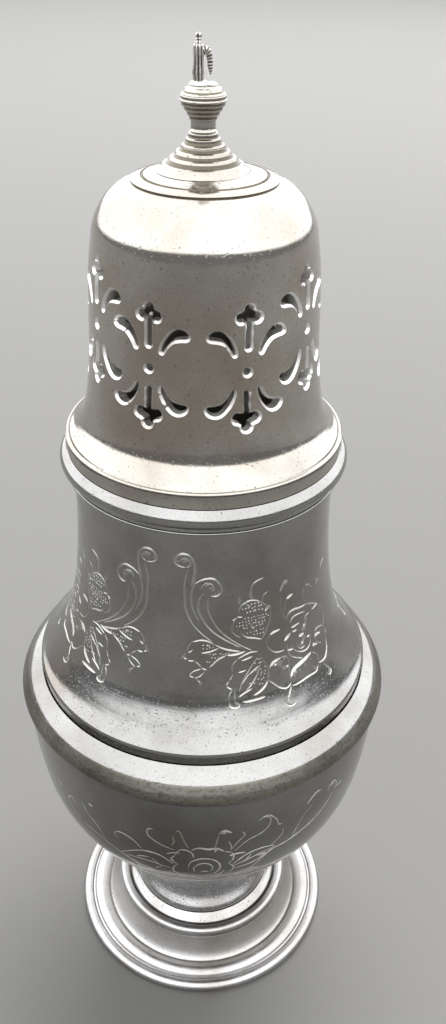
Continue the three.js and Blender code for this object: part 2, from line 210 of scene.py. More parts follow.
def silver_finish(name, light, dark, tarnish, rough_low, rough_high, pits, speckle=0.42, metal=1.0):
    """Old silver plate: a soft polish, cloudy light tarnish, fine dark pits and scratches, and the fine
    lines that turning leaves."""
    finish = bpy.data.materials.new(name)
    finish.use_nodes = True
    tree = finish.node_tree
    shader = tree.nodes["Principled BSDF"]
    shader.inputs["Metallic"].default_value = metal
    place = add_node(tree, "TexCoord", {})["Object"]

    def pattern(size, detail, roughness=0.55, at=place):
        return add_node(tree, "TexNoise", {"Vector": at, "Scale": size, "Detail": detail,
                                           "Roughness": roughness})["Fac"]

    def span(value, low, high, least, most):
        """The value from low to high, as a share from least to most."""
        return add_node(tree, "MapRange", {"Value": value, "From Min": low, "From Max": high,
                                           "To Min": least, "To Max": most})["Result"]

    def tinted(under, share, tint, darker=1):
        tint = (*(darker * c for c in tint), 1)
        return add_node(tree, "Mix", {"Factor": share, "A": under, "B": tint}, data_type="RGBA")["Result"]

    def relief(height, strength, distance, under=None, sunk=False):
        sockets = {"Height": height, "Strength": strength, "Distance": distance * MM}
        if under is not None:
            sockets["Normal"] = under
        return add_node(tree, "Bump", sockets, invert=sunk)["Normal"]

    pitting = pattern(pits, detail=2, roughness=0.5)
    specks = pattern(1.3 * pits, detail=5, roughness=0.8)
    colour = tinted((*light, 1), span(pattern(CLOUDS, detail=6), 0.38, 0.66, 0, 1), dark)
    colour = tinted(colour, span(pattern(STAINS, detail=4, roughness=0.65), 0.52, 0.75, 0, 0.7), tarnish)
    colour = tinted(colour, span(specks, 0.48, 0.72, 0, speckle), dark, darker=0.6)
    colour = tinted(colour, span(pitting, 0.66, 0.74, 0, 0.75), dark, darker=0.35)
    tree.links.new(colour, shader.inputs["Base Color"])

    # Scratches are drawn out level round the piece, and rub the polish off along them.
    level = add_node(tree, "Mapping", {"Vector": place, "Scale": (1, 1, 9)})["Vector"]
    scratches = pattern(SCRATCHES, detail=3, roughness=0.6, at=level)
    tree.links.new(span(scratches, 0.3, 0.7, rough_low, rough_high), shader.inputs["Roughness"])

    # Turned lines depend only on the radius and the height, so they run round the axis.
    parts = add_node(tree, "SeparateXYZ", {"Vector": place})
    flat = add_node(tree, "CombineXYZ", {"X": parts["X"], "Y": parts["Y"]})["Vector"]
    radius = add_node(tree, "VectorMath", {0: flat}, operation="LENGTH")["Value"]
    section = add_node(tree, "CombineXYZ", {"X": radius, "Z": parts["Z"]})["Vector"]
    turned = pattern(TURNED_LINES, detail=3, roughness=0.5, at=section)
    surface = relief(span(pitting, 0.62, 0.74, 0, 1), strength=0.35, distance=0.04, sunk=True)
    surface = relief(turned, strength=0.12, distance=0.04, under=surface)
    surface = relief(pattern(RIPPLES, detail=2), strength=0.10, distance=0.6, under=surface)
    tree.links.new(surface, shader.inputs["Normal"])
    return finish


def fit(piece, body, node, finish, others=()):
    """Gives a piece its finishes and its body, in the place of the plain solid that it stands for."""
    for each in (finish, *others):
        piece.data.materials.append(each)
    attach(piece, body)
    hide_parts(node)


# The foot's plate is set lighter than the body's: a painted reflection of the bright surroundings that its
# steep slopes face.
foot_silver_painted_light = silver_finish("foot silver plate with painted light", (0.52, 0.51, 0.50), (0.40, 0.39, 0.38), (0.36, 0.32, 0.27),
                            0.28, 0.42, 2000)
rim_outline = ([(24.25, 1.5), (24.25, 0.5), (24.7, 0.0), (25.2, 0.0)]
               + arc_run((25.2, 1.2), 1.2, -80, 130, 20) + [(24.35, 1.98)])
fit(Shell(rim_outline).piece("foot_rim"), "caster_body", "foot_rim_wire", foot_silver_painted_light)

# Foot
# A raised foot, spun from sheet: a rounded band, a crisp crease that holds tarnish and a painted shade,
# and a hollow slope that rises to the stem. A narrow bead is soldered round the stem's skirt on top of it.
FOOT_WALL = 1.1


def between(before, here, there, after, t):
    """A point on the smooth curve from here to there, a share t of the way along."""
    return 0.5 * (2 * here + (there - before) * t
                  + (2 * before - 5 * here + 4 * there - after) * t ** 2
                  + (3 * here - before - 3 * there + after) * t ** 3)


def smooth_run(points, steps=6):
    """A curve through the points, as a spinner's template runs from one to the next."""
    points = [np.array(p, float) for p in points]
    ends = [2 * points[0] - points[1]] + points + [2 * points[-1] - points[-2]]
    run = [tuple(between(*ends[i:i + 4], k / steps)) for i in range(len(points) - 1) for k in range(steps)]
    return run + [tuple(points[-1])]


def left_of(along):
    """Unit steps to the left of the given directions."""
    along = along / np.linalg.norm(along, axis=1)[:, None]
    return np.stack([-along[:, 1], along[:, 0]], 1)


def inner_side(run, wall):
    """The inner side of a sheet whose outer side runs upwards."""
    points = np.array(run)
    return [tuple(p) for p in points + wall * left_of(np.gradient(points, axis=0))]


# The crease rows take a darker finish: tarnish, and a painted shade in the fold.
crease_tarnish_and_shade = silver_finish("tarnish and painted shade in the creases", (0.34, 0.33, 0.31), (0.24, 0.23, 0.21),
                               (0.17, 0.15, 0.12), 0.40, 0.60, 2600)
band_run = smooth_run([(23.9, 2.0), (23.5, 2.5), (22.4, 2.9), (21.3, 2.6), (20.7, 2.05)], 5)
slope_run = smooth_run([(20.5, 2.0), (19.95, 2.45), (19.2, 3.5), (18.5, 4.95), (18.1, 6.2), (17.9, 6.6)], 5)
foot_run = [(24.24, 1.93)] + band_run + slope_run + [(13.9, 6.6)]
foot_outline = foot_run + inner_side(foot_run, FOOT_WALL)[::-1]
crease_shaded_rows = {row: SECOND_FINISH for row in range(len(band_run) - 1, len(band_run) + 2)}
fit(Shell(foot_outline, row_finish=crease_shaded_rows).piece("foot_dome_spun"), "caster_body", "foot_dome",
    foot_silver_painted_light, others=[crease_tarnish_and_shade])

bead_outline = arc_run((17.0, 7.42), 1.0, -54, 234, 28)
fit(Shell(bead_outline).piece("foot_bead_turned"), "caster_body", "foot_bead", foot_silver_painted_light)

# Stem
# A short trumpet of sheet between the foot and the bowl, with a fine step round its skirt. It stands
# in the shade of the bowl, so its waist is a guess that joins the skirt to the bowl's base.
STEM_WALL = 1.2
# The stem's plate is set darker than the foot's: a painted shade for the bowl that overhangs it.
stem_silver_painted_shade = silver_finish("stem silver plate with painted shade", (0.47, 0.46, 0.45), (0.33, 0.32, 0.31), (0.30, 0.26, 0.22),
                            0.12, 0.22, 2000)
skirt_run = smooth_run([(15.3, 8.42), (14.75, 8.95), (14.3, 9.42)], 4)
trumpet_run = smooth_run([(13.86, 9.8), (11.8, 12.6), (9.7, 16.8), (9.0, 21.0), (9.5, 24.6), (11.0, 27.2)], 5)
stem_run = ([(15.93, 6.6), (15.93, 7.4), (15.78, 7.9), (15.55, 8.2)] + skirt_run
            + [(14.06, 9.42), (13.96, 9.6)] + trumpet_run)
stem_outline = stem_run + [(r - STEM_WALL, z) for r, z in stem_run[::-1]]
fit(Shell(stem_outline).piece("stem_spun"), "caster_body", "stem", stem_silver_painted_shade)

# Bowl
# The round lower body, raised from sheet and engraved with sprays of flowers. The engraver's cuts
# are pointed at both ends and widest in the middle. They show bright in the darker plate: freshly cut metal,
# with a painted highlight.
BODY_WALL = 1.2
CUT_SLOPE = math.tan(math.radians(30))
DOT_SLOPE = 0.9
TAPER = 0.4  # the lower, the blunter the ends of a cut
GRAVER_STEP = 0.45
SHALLOWEST = 0.004
CLEAR_OF_CUT = 0.3  # how far the plain mesh keeps from a cut's edge
CLEAR_OF_DOT = 0.25
NEARBY = 2.0
AT_EDGE = 1e-3
SAME_POINT = 1e-6
WHOLE_SHEET = 0  # fills all that lies between the outermost points
DOT_SIDES = 6


def graver_path(points):
    """Points of a cut at even steps, from the few that give its shape."""
    fine = np.array(smooth_run(points, 8))
    lengths = np.concatenate([[0], np.cumsum(np.linalg.norm(np.diff(fine, axis=0), axis=1))])
    count = max(4, round(lengths[-1] / GRAVER_STEP))
    at = np.linspace(0, lengths[-1], count + 1)
    return np.stack([np.interp(at, lengths, fine[:, 0]), np.interp(at, lengths, fine[:, 1])], 1)


class Sheet:
    """A band of a turned piece, laid flat so that what is cut in it keeps its shape on the metal."""

    def __init__(self, shell, first, last):
        self.shell = shell
        self.rings = (shell.rings[first], shell.rings[last])
        run = np.array(shell.outline[first:last + 1])
        self.r = run[:, 0]
        self.z = run[:, 1]
        self.out = np.array([shell.corner_direction(min(i, last - 1), i) for i in range(first, last + 1)])
        self.middle = float(self.r.mean())
        steps = np.linalg.norm(np.diff(run, axis=0), axis=1)
        self.up = np.concatenate([[0], np.cumsum(steps * self.middle * 2 / (self.r[1:] + self.r[:-1]))])
        self.top = float(self.up[-1])
        self.width = 2 * math.pi * self.middle
        self.points = []
        self.edges = []
        self.busy = []

    def flat(self, degrees, height):
        """Flat place of an angle on the object and a height."""
        across = math.radians((degrees - self.shell.start) % 360) * self.middle
        return across, float(np.interp(height, self.z, self.up))

    def scale(self, up):
        """How much larger the metal is than the flat sheet at this level."""
        return np.interp(up, self.up, self.r) / self.middle

    def chain(self, points, closed=False):
        """Adds a row of points whose joins stay edges of the mesh. Returns their numbers."""
        first = len(self.points)
        count = len(points)
        self.points += [tuple(p) for p in points]
        self.edges += [(first + i, first + i + 1) for i in range(count - 1)]
        if closed:
            self.edges.append((first + count - 1, first))
        return range(first, first + count)

    def triangulate(self, spacing):
        """A plain mesh between the cuts, kept clear of them so that no sliver forms."""
        columns = self.shell.sides
        rows = max(2, round(self.top / spacing))
        for k in range(columns + 1):
            self.points += [(self.width * k / columns, 0.0), (self.width * k / columns, self.top)]
        busy = np.array(self.busy)
        across = max(3, round(self.width / spacing))
        for j in range(1, rows):
            up = self.top * j / rows
            self.points += [(0.0, up), (self.width, up)]
            near = busy[np.abs(busy[:, 1] - up) < NEARBY]
            for k in range(1, across):
                x = self.width * (k + 0.5 * (j % 2) - 0.25) / across
                if not (np.hypot(near[:, 0] - x, near[:, 1] - up) < near[:, 2]).any():
                    self.points.append((x, up))
        filled = delaunay_2d_cdt([Vector(p) for p in self.points], self.edges, [], WHOLE_SHEET, SAME_POINT)
        self.at = np.array([tuple(p) for p in filled[0]])
        self.triangles = [tuple(f) for f in filled[2]]
        self.number_of = {given: i for i, sources in enumerate(filled[3]) for given in sources}

    def add_corners(self, depth):
        """Puts each flat point on the piece, sunk by its depth. Returns their corners and directions."""
        shell = self.shell
        r, z, out_r, out_z = (np.interp(self.at[:, 1], self.up, row)
                              for row in (self.r, self.z, self.out[:, 0], self.out[:, 1]))
        degrees = shell.start + np.degrees(self.at[:, 0] / self.middle)
        sunk_r = r - out_r * depth
        sunk_z = z - out_z * depth
        numbers = []
        seam = {}
        for i, (x, up) in enumerate(self.at):
            height = round(float(up), 3)
            on_seam = x < AT_EDGE or x > self.width - AT_EDGE
            if up < AT_EDGE or up > self.top - AT_EDGE:
                column = round(x / self.width * shell.sides) % shell.sides
                numbers.append(self.rings[0 if up < AT_EDGE else 1][column])
                continue
            if on_seam and height in seam:
                numbers.append(seam[height])
                continue
            numbers.append(len(shell.corners))
            shell.corners.append(shell.place(degrees[i], sunk_r[i], sunk_z[i]))
            if on_seam:
                seam[height] = numbers[-1]
        a = np.radians(degrees)
        return numbers, np.stack([out_r * np.sin(a), -out_r * np.cos(a), out_z], 1)

    def add_faces(self, numbers, directions, cut, skipped=(), turn=1):
        """Adds the triangles. Those that touch a cut point are shaded by their own slope, and a turn of
        -1 makes them the inner side of the sheet."""
        shell = self.shell
        for i, triangle in enumerate(self.triangles):
            face = tuple(numbers[j] for j in triangle)
            if i in skipped or len(set(face)) < 3:
                continue
            if turn < 0:
                shell.finish_number[len(shell.faces)] = THIRD_FINISH
            if any(cut[j] for j in triangle):
                shell.finish_number[len(shell.faces)] = SECOND_FINISH
                shell.shading.append(None)
            else:
                shell.shading.append([tuple(turn * directions[j]) for j in triangle[::turn]])
            shell.faces.append(face[::turn])


def engraved(sheet, cuts, placings, dots, spacing):
    """Cuts the strokes and dots into the sheet at each placing, which is an angle and a direction."""
    strokes = []
    hollows = []
    for middle_angle, way in placings:
        for width, places in cuts:
            path = graver_path([sheet.flat(middle_angle + way * a, z) for a, z in places])
            scale = float(sheet.scale(path[:, 1].mean()))
            half = width / 2 / scale * np.sin(math.pi * np.linspace(0, 1, len(path))) ** TAPER
            side = left_of(np.gradient(path, axis=0)) * half[:, None]
            for edge in (path, path + side, path - side):
                sheet.chain([path[0], *edge[1:-1], path[-1]])
            strokes.append((path, half))
            sheet.busy += [(x, y, h + CLEAR_OF_CUT) for (x, y), h in zip(path, half)]
        for degrees, height, size in dots:
            x, y = sheet.flat(middle_angle + way * degrees, height)
            radius = size / 2 / float(sheet.scale(y))
            sheet.chain([(x + radius * math.cos(a), y + radius * math.sin(a))
                         for a in np.radians(range(0, 360, 360 // DOT_SIDES))], closed=True)
            sheet.points.append((x, y))
            sheet.busy.append((x, y, radius + CLEAR_OF_DOT))
            hollows.append((x, y, radius))
    sheet.triangulate(spacing)

    depth = np.zeros(len(sheet.at))
    for path, half in strokes:
        reach = half.max()
        near = np.nonzero(((sheet.at >= path.min(0) - reach) & (sheet.at <= path.max(0) + reach)).all(1))[0]
        spots = sheet.at[near][:, None, :]
        begin, step = path[None, :-1], np.diff(path, axis=0)[None]
        share = (((spots - begin) * step).sum(2) / (step ** 2).sum(2)).clip(0, 1)
        gap = np.linalg.norm(spots - begin - share[..., None] * step, axis=2)
        across = half[None, :-1] + (half[None, 1:] - half[None, :-1]) * share
        sunk = ((across - gap) * CUT_SLOPE).max(1).clip(0, None)
        depth[near] = np.maximum(depth[near], sunk * sheet.scale(sheet.at[near][:, 1]))
    for x, y, radius in hollows:
        gap = np.hypot(sheet.at[:, 0] - x, sheet.at[:, 1] - y)
        depth = np.maximum(depth, (radius - gap) * DOT_SLOPE)
    depth[depth < SHALLOWEST] = 0.0
    numbers, directions = sheet.add_corners(depth)
    sheet.add_faces(numbers, directions, depth > 0)


SILVER_TARNISH = (0.30, 0.25, 0.205)
bowl_silver = silver_finish("bowl silver plate", (0.27, 0.267, 0.26), (0.195, 0.192, 0.185),
                            (0.22, 0.185, 0.155), 0.10, 0.19, 2600)
# The cuts' finish is much lighter than the plate: freshly cut metal, and a painted highlight for the light
# the cuts catch from the side.
bright_cuts_painted_highlight = silver_finish("bright cuts with painted highlight", (0.95, 0.93, 0.88), (0.55, 0.54, 0.50), SILVER_TARNISH,
                            0.40, 0.60, 700, speckle=0.85)
dull_inside = silver_finish("dull inside", (0.56, 0.53, 0.46), (0.44, 0.41, 0.35), (0.30, 0.25, 0.18),
                            0.5, 0.7, 2400, metal=0.3)
BOWL_BASE = 27.2
bowl_run = smooth_run([(11.0, BOWL_BASE), (15.5, 28.2), (19.8, 30.2), (24.2, 33.8), (28.0, 39.5),
                       (30.5, 46.0), (31.8, 53.5), (32.4, 60.0), (32.7, 64.8)], 6)
bowl_inner = inner_side(bowl_run, BODY_WALL)
bowl_inner[0] = (10.8, BOWL_BASE + BODY_WALL)
bowl_inner[-1] = (bowl_run[-1][0] - BODY_WALL, bowl_run[-1][1])
bowl_outline = [(0, BOWL_BASE)] + bowl_run + bowl_inner[::-1] + [(0, BOWL_BASE + BODY_WALL)]
# The sprays are cut in these rows of the outer side. The seam lies between two sprays.
SPRAY_FIRST = 18
SPRAY_LAST = 47
BOWL_SEAM = 58.0
bowl_inside = {row: THIRD_FINISH for row in range(len(bowl_run) + 1, len(bowl_outline) - 1)}
bowl_shell = Shell(bowl_outline, start=BOWL_SEAM, open_rows=range(SPRAY_FIRST, SPRAY_LAST),
                   row_finish=bowl_inside)

# Each cut is its width and the places it passes, as degrees round the bowl and height.
rosebud_cuts = [
    (0.6, [(-3.5, 52.4), (-1, 53.2), (2, 52.8), (4.5, 53), (7, 51.8)]),
    (0.4, [(7, 51.8), (9.5, 51), (10, 49), (8.5, 47.5)]),
    (0.4, [(8.5, 47.5), (10.5, 46), (9.5, 43.8), (7, 43)]),
    (0.45, [(7, 43), (5, 41.2), (1.5, 40.6), (-2, 41.2), (-4, 42.4)]),
    (0.5, [(-4, 42.4), (-7, 42.6), (-9.5, 44.2), (-9, 46.4), (-7.5, 47.4)]),
    (0.4, [(-7.5, 47.4), (-10, 48.6), (-8.5, 50.5)]),
    (0.45, [(-8.5, 50.5), (-7, 52.2), (-5, 52.4), (-3, 51.4), (-2.6, 50)]),
    (0.4, [(-4.6, 46), (-3.4, 48.6), (0.6, 49.8), (4.6, 48.8), (6, 46.4), (4.2, 43.8), (0.6, 42.8)]),
    (0.35, [(-2.4, 44.2), (-2.6, 46.4), (-0.4, 48), (2.4, 47.8), (3.6, 46.2), (2.6, 44.8)]),
    (0.5, [(-0.5, 44.6), (1, 44.9), (2.5, 44.6)]),
    (0.5, [(3, 41.8), (6, 43.2), (7.5, 45)]),
]
bowl_leaf_cuts = [
    (0.45, [(-9, 47), (-13, 49.5), (-18, 50), (-23, 48.6), (-28, 46.2)]),
    (0.4, [(-28, 46.2), (-22, 43.6), (-16, 42.4), (-10, 43.4)]),
    (0.35, [(-10, 45.4), (-18, 46.6), (-26, 46.2)]),
    (0.4, [(-22, 47), (-19.5, 47.8), (-17, 48)]),
    (0.3, [(-14, 46), (-16.5, 48.2)]),
    (0.3, [(-13, 45.8), (-16, 44)]),
    (0.45, [(-9, 42.6), (-13.5, 40.8), (-19, 40.4), (-23.5, 39.8)]),
    (0.4, [(-23.5, 39.8), (-18, 38.4), (-11.5, 39.2), (-7, 41)]),
    (0.45, [(10, 47), (14, 49.6), (19, 50.6), (24, 50)]),
    (0.55, [(8.5, 50.2), (11.5, 50.6), (14, 50.4)]),
    (0.5, [(24, 50), (20, 47.6), (16, 46), (10.5, 45.2)]),
    (0.35, [(10.5, 46.4), (17, 48.4), (23, 49.6)]),
    (0.3, [(14, 47.6), (16, 49.6)]),
    (0.45, [(8, 41), (12, 42.6), (15.5, 43.4), (20, 43)]),
    (0.5, [(8, 40.2), (12, 40.6), (16.5, 41.2), (20, 43)]),
]
bowl_stem_cuts = [
    (0.45, [(15.5, 42.6), (22, 48.4), (28, 49.6), (33.5, 50.8), (38.5, 52.2), (43, 54.4), (46, 56.8)]),
    (0.4, [(46, 56.8), (46.4, 58.8), (44.6, 60), (42.6, 59.4), (42.8, 58)]),
    (0.6, [(18, 48.2), (20, 48.4), (21.5, 48.2)]),
    (0.6, [(33.5, 58.4), (36, 60), (37.5, 60.4), (39, 60.2)]),
    (0.35, [(30, 50.2), (31.6, 53.6), (33.5, 56), (36.5, 57.4)]),
    (0.4, [(46.5, 57.4), (50, 57.6)]),
    (0.4, [(-16, 42.6), (-23, 44.4), (-30, 46.6), (-37, 48.6), (-43.5, 49.2)]),
    (0.35, [(-43.5, 49.2), (-47, 51), (-48, 53.6), (-46, 55), (-43.6, 54.2)]),
    (0.35, [(-33, 47.6), (-35, 51), (-38.5, 53.6), (-40.4, 56)]),
    (0.35, [(-37.5, 57.2), (-35.5, 57)]),
    (0.35, [(-52.5, 56.2), (-50.5, 55.6)]),
    (0.65, [(5, 57), (6, 57.9), (7, 58), (9, 57.2)]),
    (0.35, [(4, 53.2), (4.6, 55.4), (5, 57)]),
    (0.35, [(8, 55), (9, 53.4), (9, 52)]),
    (0.35, [(9, 52), (11, 54.4), (13, 56), (12, 57.2)]),
    (0.35, [(10, 51.4), (14, 54.2), (18, 55.4), (20.5, 57), (20.8, 59), (18.6, 60), (17, 59)]),
    (0.35, [(18.5, 60), (20.5, 59.9), (23, 58), (24, 56.2), (25.5, 56.4)]),
    (0.3, [(22, 50.4), (24.5, 51.8), (26, 53.4), (25.4, 55)]),
    (0.4, [(-8, 52), (-12, 53), (-14.5, 54), (-16.6, 55.4), (-16.4, 57.2), (-14.4, 57.4)]),
    (0.35, [(-9.5, 53.4), (-8.5, 54.8), (-9, 56.4)]),
    (0.35, [(-4, 52.8), (-5.6, 55.6), (-6.6, 57.8), (-8, 58)]),
    (0.4, [(-11.5, 50.4), (-9, 51.2), (-6.5, 51.2)]),
    (0.35, [(-19, 50), (-22, 52.4), (-26, 53.4), (-28.6, 52.2), (-27.4, 50.8)]),
]
FINE_TOOL = 0.8
SPRAY_MESH = 1.0
spray_cuts = [(FINE_TOOL * width, path) for width, path in rosebud_cuts + bowl_leaf_cuts + bowl_stem_cuts]
spray_repeats = [(0, 1), (120, 1), (240, 1)]
engraved(Sheet(bowl_shell, SPRAY_FIRST, SPRAY_LAST), spray_cuts, spray_repeats, [], SPRAY_MESH)
fit(bowl_shell.piece("bowl_engraved"), "caster_body", "bowl", bowl_silver, others=[bright_cuts_painted_highlight, dull_inside])

# Shoulder girdle
# A moulding soldered over the joint of the bowl and the upper body, with a ledge inside that the
# upper body stands on. From its underside up it is dark with speckles of tarnish and a painted shade, and
# only its top is bright.
GIRDLE_BRIGHT = 20  # from this row of its outline on, its face is bright
body_silver = silver_finish("body silver plate", (0.345, 0.34, 0.33), (0.25, 0.246, 0.236), SILVER_TARNISH,
                            0.09, 0.17, 2600)
# Its underside and lower face are painted dark: tarnish with speckles, and a painted shade where they face
# down.
girdle_tarnish_and_shade = silver_finish("speckled tarnish and painted shade", (0.25, 0.24, 0.205), (0.13, 0.125, 0.105),
                               (0.07, 0.06, 0.04), 0.24, 0.40, 1100, speckle=0.95)
girdle_face = smooth_run([(32.75, 65.0), (33.15, 65.4), (33.41, 66.05), (33.46, 66.8), (33.2, 67.5),
                          (32.75, 68.25), (32.2, 69.1), (31.65, 69.7), (31.05, 70.17), (30.4, 70.56),
                          (29.66, 70.92)], 3)
girdle_outline = ([(28.7, 64.8), (32.3, 64.8)] + girdle_face
                  + [(29.62, 70.3), (30.5, 70.22), (30.5, 65.8), (28.7, 65.8)])
girdle_shaded_rows = {row: SECOND_FINISH for row in range(1, GIRDLE_BRIGHT)}
fit(Shell(girdle_outline, row_finish=girdle_shaded_rows).piece("shoulder_girdle_moulded"), "caster_body",
    "shoulder_girdle", body_silver, others=[girdle_tarnish_and_shade])

# Upper body
# The waisted neck of the caster in one spun sheet, from the skirt inside the girdle to the lip. It is
# engraved with scrolls, leaves and a rose in mirrored pairs, and its leaves are filled with punched dots.
NECK_BORE = 20.1
WAIST_MIRROR = -15.5
WAIST_SEAM = WAIST_MIRROR + 90  # between the two pairs
# The cuts' finish is lighter and rougher than the plate: freshly cut metal, and a painted highlight for the
# light the cuts catch.
cut_silver_painted_highlight = silver_finish("cut silver with painted highlight", (0.50, 0.49, 0.46), (0.42, 0.41, 0.38), SILVER_TARNISH,
                           0.30, 0.48, 2600)
body_skirt = [(30.35, 65.8), (30.35, 70.15), (29.55, 70.2), (29.48, 70.5), (29.45, 72.4), (29.5, 72.8)]
waist_run = smooth_run([(29.4, 73.1), (28.47, 74.0), (27.66, 75.0), (26.63, 76.5), (25.62, 78.0),
                        (24.7, 79.5), (24.26, 80.6), (23.73, 82.0), (23.0, 85.0), (22.1, 90.0),
                        (21.4, 97.0), (21.1, 104.0), (21.3, 110.4)], 6)
upper_run = body_skirt + waist_run + [(21.3, 114.55), (21.05, 114.8)]
upper_inner = [(max(r - BODY_WALL, NECK_BORE), z) for r, z in upper_run[:-1]] + [(NECK_BORE + 0.2, 114.8)]
upper_outline = upper_run + upper_inner[::-1]
# The engraving is cut in these rows of the outer side.
WAIST_FIRST = len(body_skirt) + 13
WAIST_LAST = len(body_skirt) + 71
upper_inside = {row: THIRD_FINISH for row in range(len(upper_run), len(upper_outline) - 1)}
upper_shell = Shell(upper_outline, start=WAIST_SEAM, open_rows=range(WAIST_FIRST, WAIST_LAST),
                    row_finish=upper_inside)

# Degrees from the mirror line and height, for one half of a pair.
scroll_cuts = [
    (0.55, [(8.5, 104), (6, 104.2), (4, 104.8), (4, 105.6), (5.5, 106.4), (8, 106.6), (10.5, 106.2),
            (12, 104.8), (12, 103), (10.5, 100.6)]),
    (0.45, [(9.5, 103.8), (8, 101.6), (8, 99), (8.5, 96.4), (11, 94), (15, 92), (19.5, 90.4)]),
    (0.5, [(18.5, 99), (20.5, 98.8), (22.5, 99.4), (23, 100.6), (21, 101.8), (18.5, 102.2), (15.5, 102),
           (13.5, 101.6), (11.5, 101)]),
    (0.35, [(16.5, 100.6), (17.5, 101.2), (19.5, 101)]),
    (0.45, [(16, 99.6), (14, 98.4), (13.5, 96.6), (15.5, 94.6), (18.5, 92.8), (23.5, 91), (31, 88.8)]),
    (0.4, [(17.5, 98.6), (17.5, 96.6), (19.5, 94.4), (23.5, 92), (30, 89.6), (36, 87.8)]),
    (0.35, [(12, 103), (12, 101.4), (10.8, 99.8), (10.6, 98.2), (11.5, 96.4), (14, 94.2)]),
    (0.35, [(8.5, 104), (10.4, 104.6), (9.5, 105.6), (7.5, 105.7), (6, 105.2)]),
    (0.35, [(14.5, 100.2), (16, 101.2), (18.5, 101.2), (20, 100.4), (19, 99.6)]),
]
low_leaf_cuts = [
    (0.4, [(11, 90.4), (14.5, 90.8), (17.5, 90.6), (20, 90)]),
    (0.35, [(9.5, 88.4), (11.5, 89)]),
    (0.35, [(7.5, 87.6), (9, 87.2)]),
    (0.35, [(9.5, 87), (12, 87)]),
    (0.4, [(14.5, 88.4), (17.5, 88.6), (22, 89.2)]),
    (0.6, [(33, 88), (29, 87.8), (25, 87.8)]),
    (0.4, [(25, 87.8), (21.5, 87.2), (19.5, 86.4), (18, 85.8)]),
    (0.35, [(15, 85.8), (17, 85.4)]),
    (0.35, [(10, 84.4), (12, 84)]),
    (0.35, [(13.5, 83.6), (14.5, 83.2)]),
    (0.35, [(38.5, 87.4), (35, 87.6), (31.5, 87.2), (29.5, 86.8)]),
    (0.4, [(31, 86.4), (36, 86.8)]),
    (0.35, [(34, 83.6), (36.5, 84.4), (39, 84.8)]),
    (0.35, [(30.5, 82.2), (32.5, 83.2), (34.5, 84)]),
    (0.35, [(29.5, 84.4), (33, 84.6)]),
    (0.35, [(27.5, 84.4), (26, 83.2)]),
    (0.4, [(24.5, 82.4), (27, 81.6)]),
    (0.35, [(28, 81.8), (27.5, 79.8)]),
    (0.6, [(42, 81.8), (40, 81), (37.5, 80.4), (35, 80)]),
    (0.4, [(29, 80.2), (31.5, 80.8), (35, 81.2)]),
    (0.6, [(30.5, 79.4), (34.5, 79.4), (40, 79.4)]),
    (0.45, [(25.5, 79.8), (26, 79), (28.5, 78.8), (29.5, 79.2)]),
    (0.45, [(20, 90), (24.5, 89), (32, 88)]),
    (0.3, [(11, 90.4), (9.5, 89.6), (9.4, 88.6)]),
    (0.3, [(9, 88.4), (7.5, 87.8), (9.4, 87.2)]),
    (0.3, [(12, 87), (14, 86.4), (15, 85.8)]),
    (0.3, [(15, 85.6), (12, 85.2), (10, 84.4)]),
    (0.3, [(12, 84), (14, 84.2), (16.4, 85.2)]),
    (0.3, [(29.5, 86.8), (27.2, 85.8), (27.5, 84.5)]),
    (0.3, [(26, 83.2), (24.5, 82.5)]),
    (0.3, [(27, 81.6), (25.5, 80.8), (25.5, 79.8)]),
    (0.35, [(39, 87), (41.2, 85), (42.5, 83.2), (42, 81.8)]),
    (0.3, [(38, 86.4), (35, 85), (31.5, 83), (29.5, 81)]),
    (0.3, [(39.5, 85.2), (37.5, 83.4), (34.5, 81.8), (31.5, 80.8)]),
]
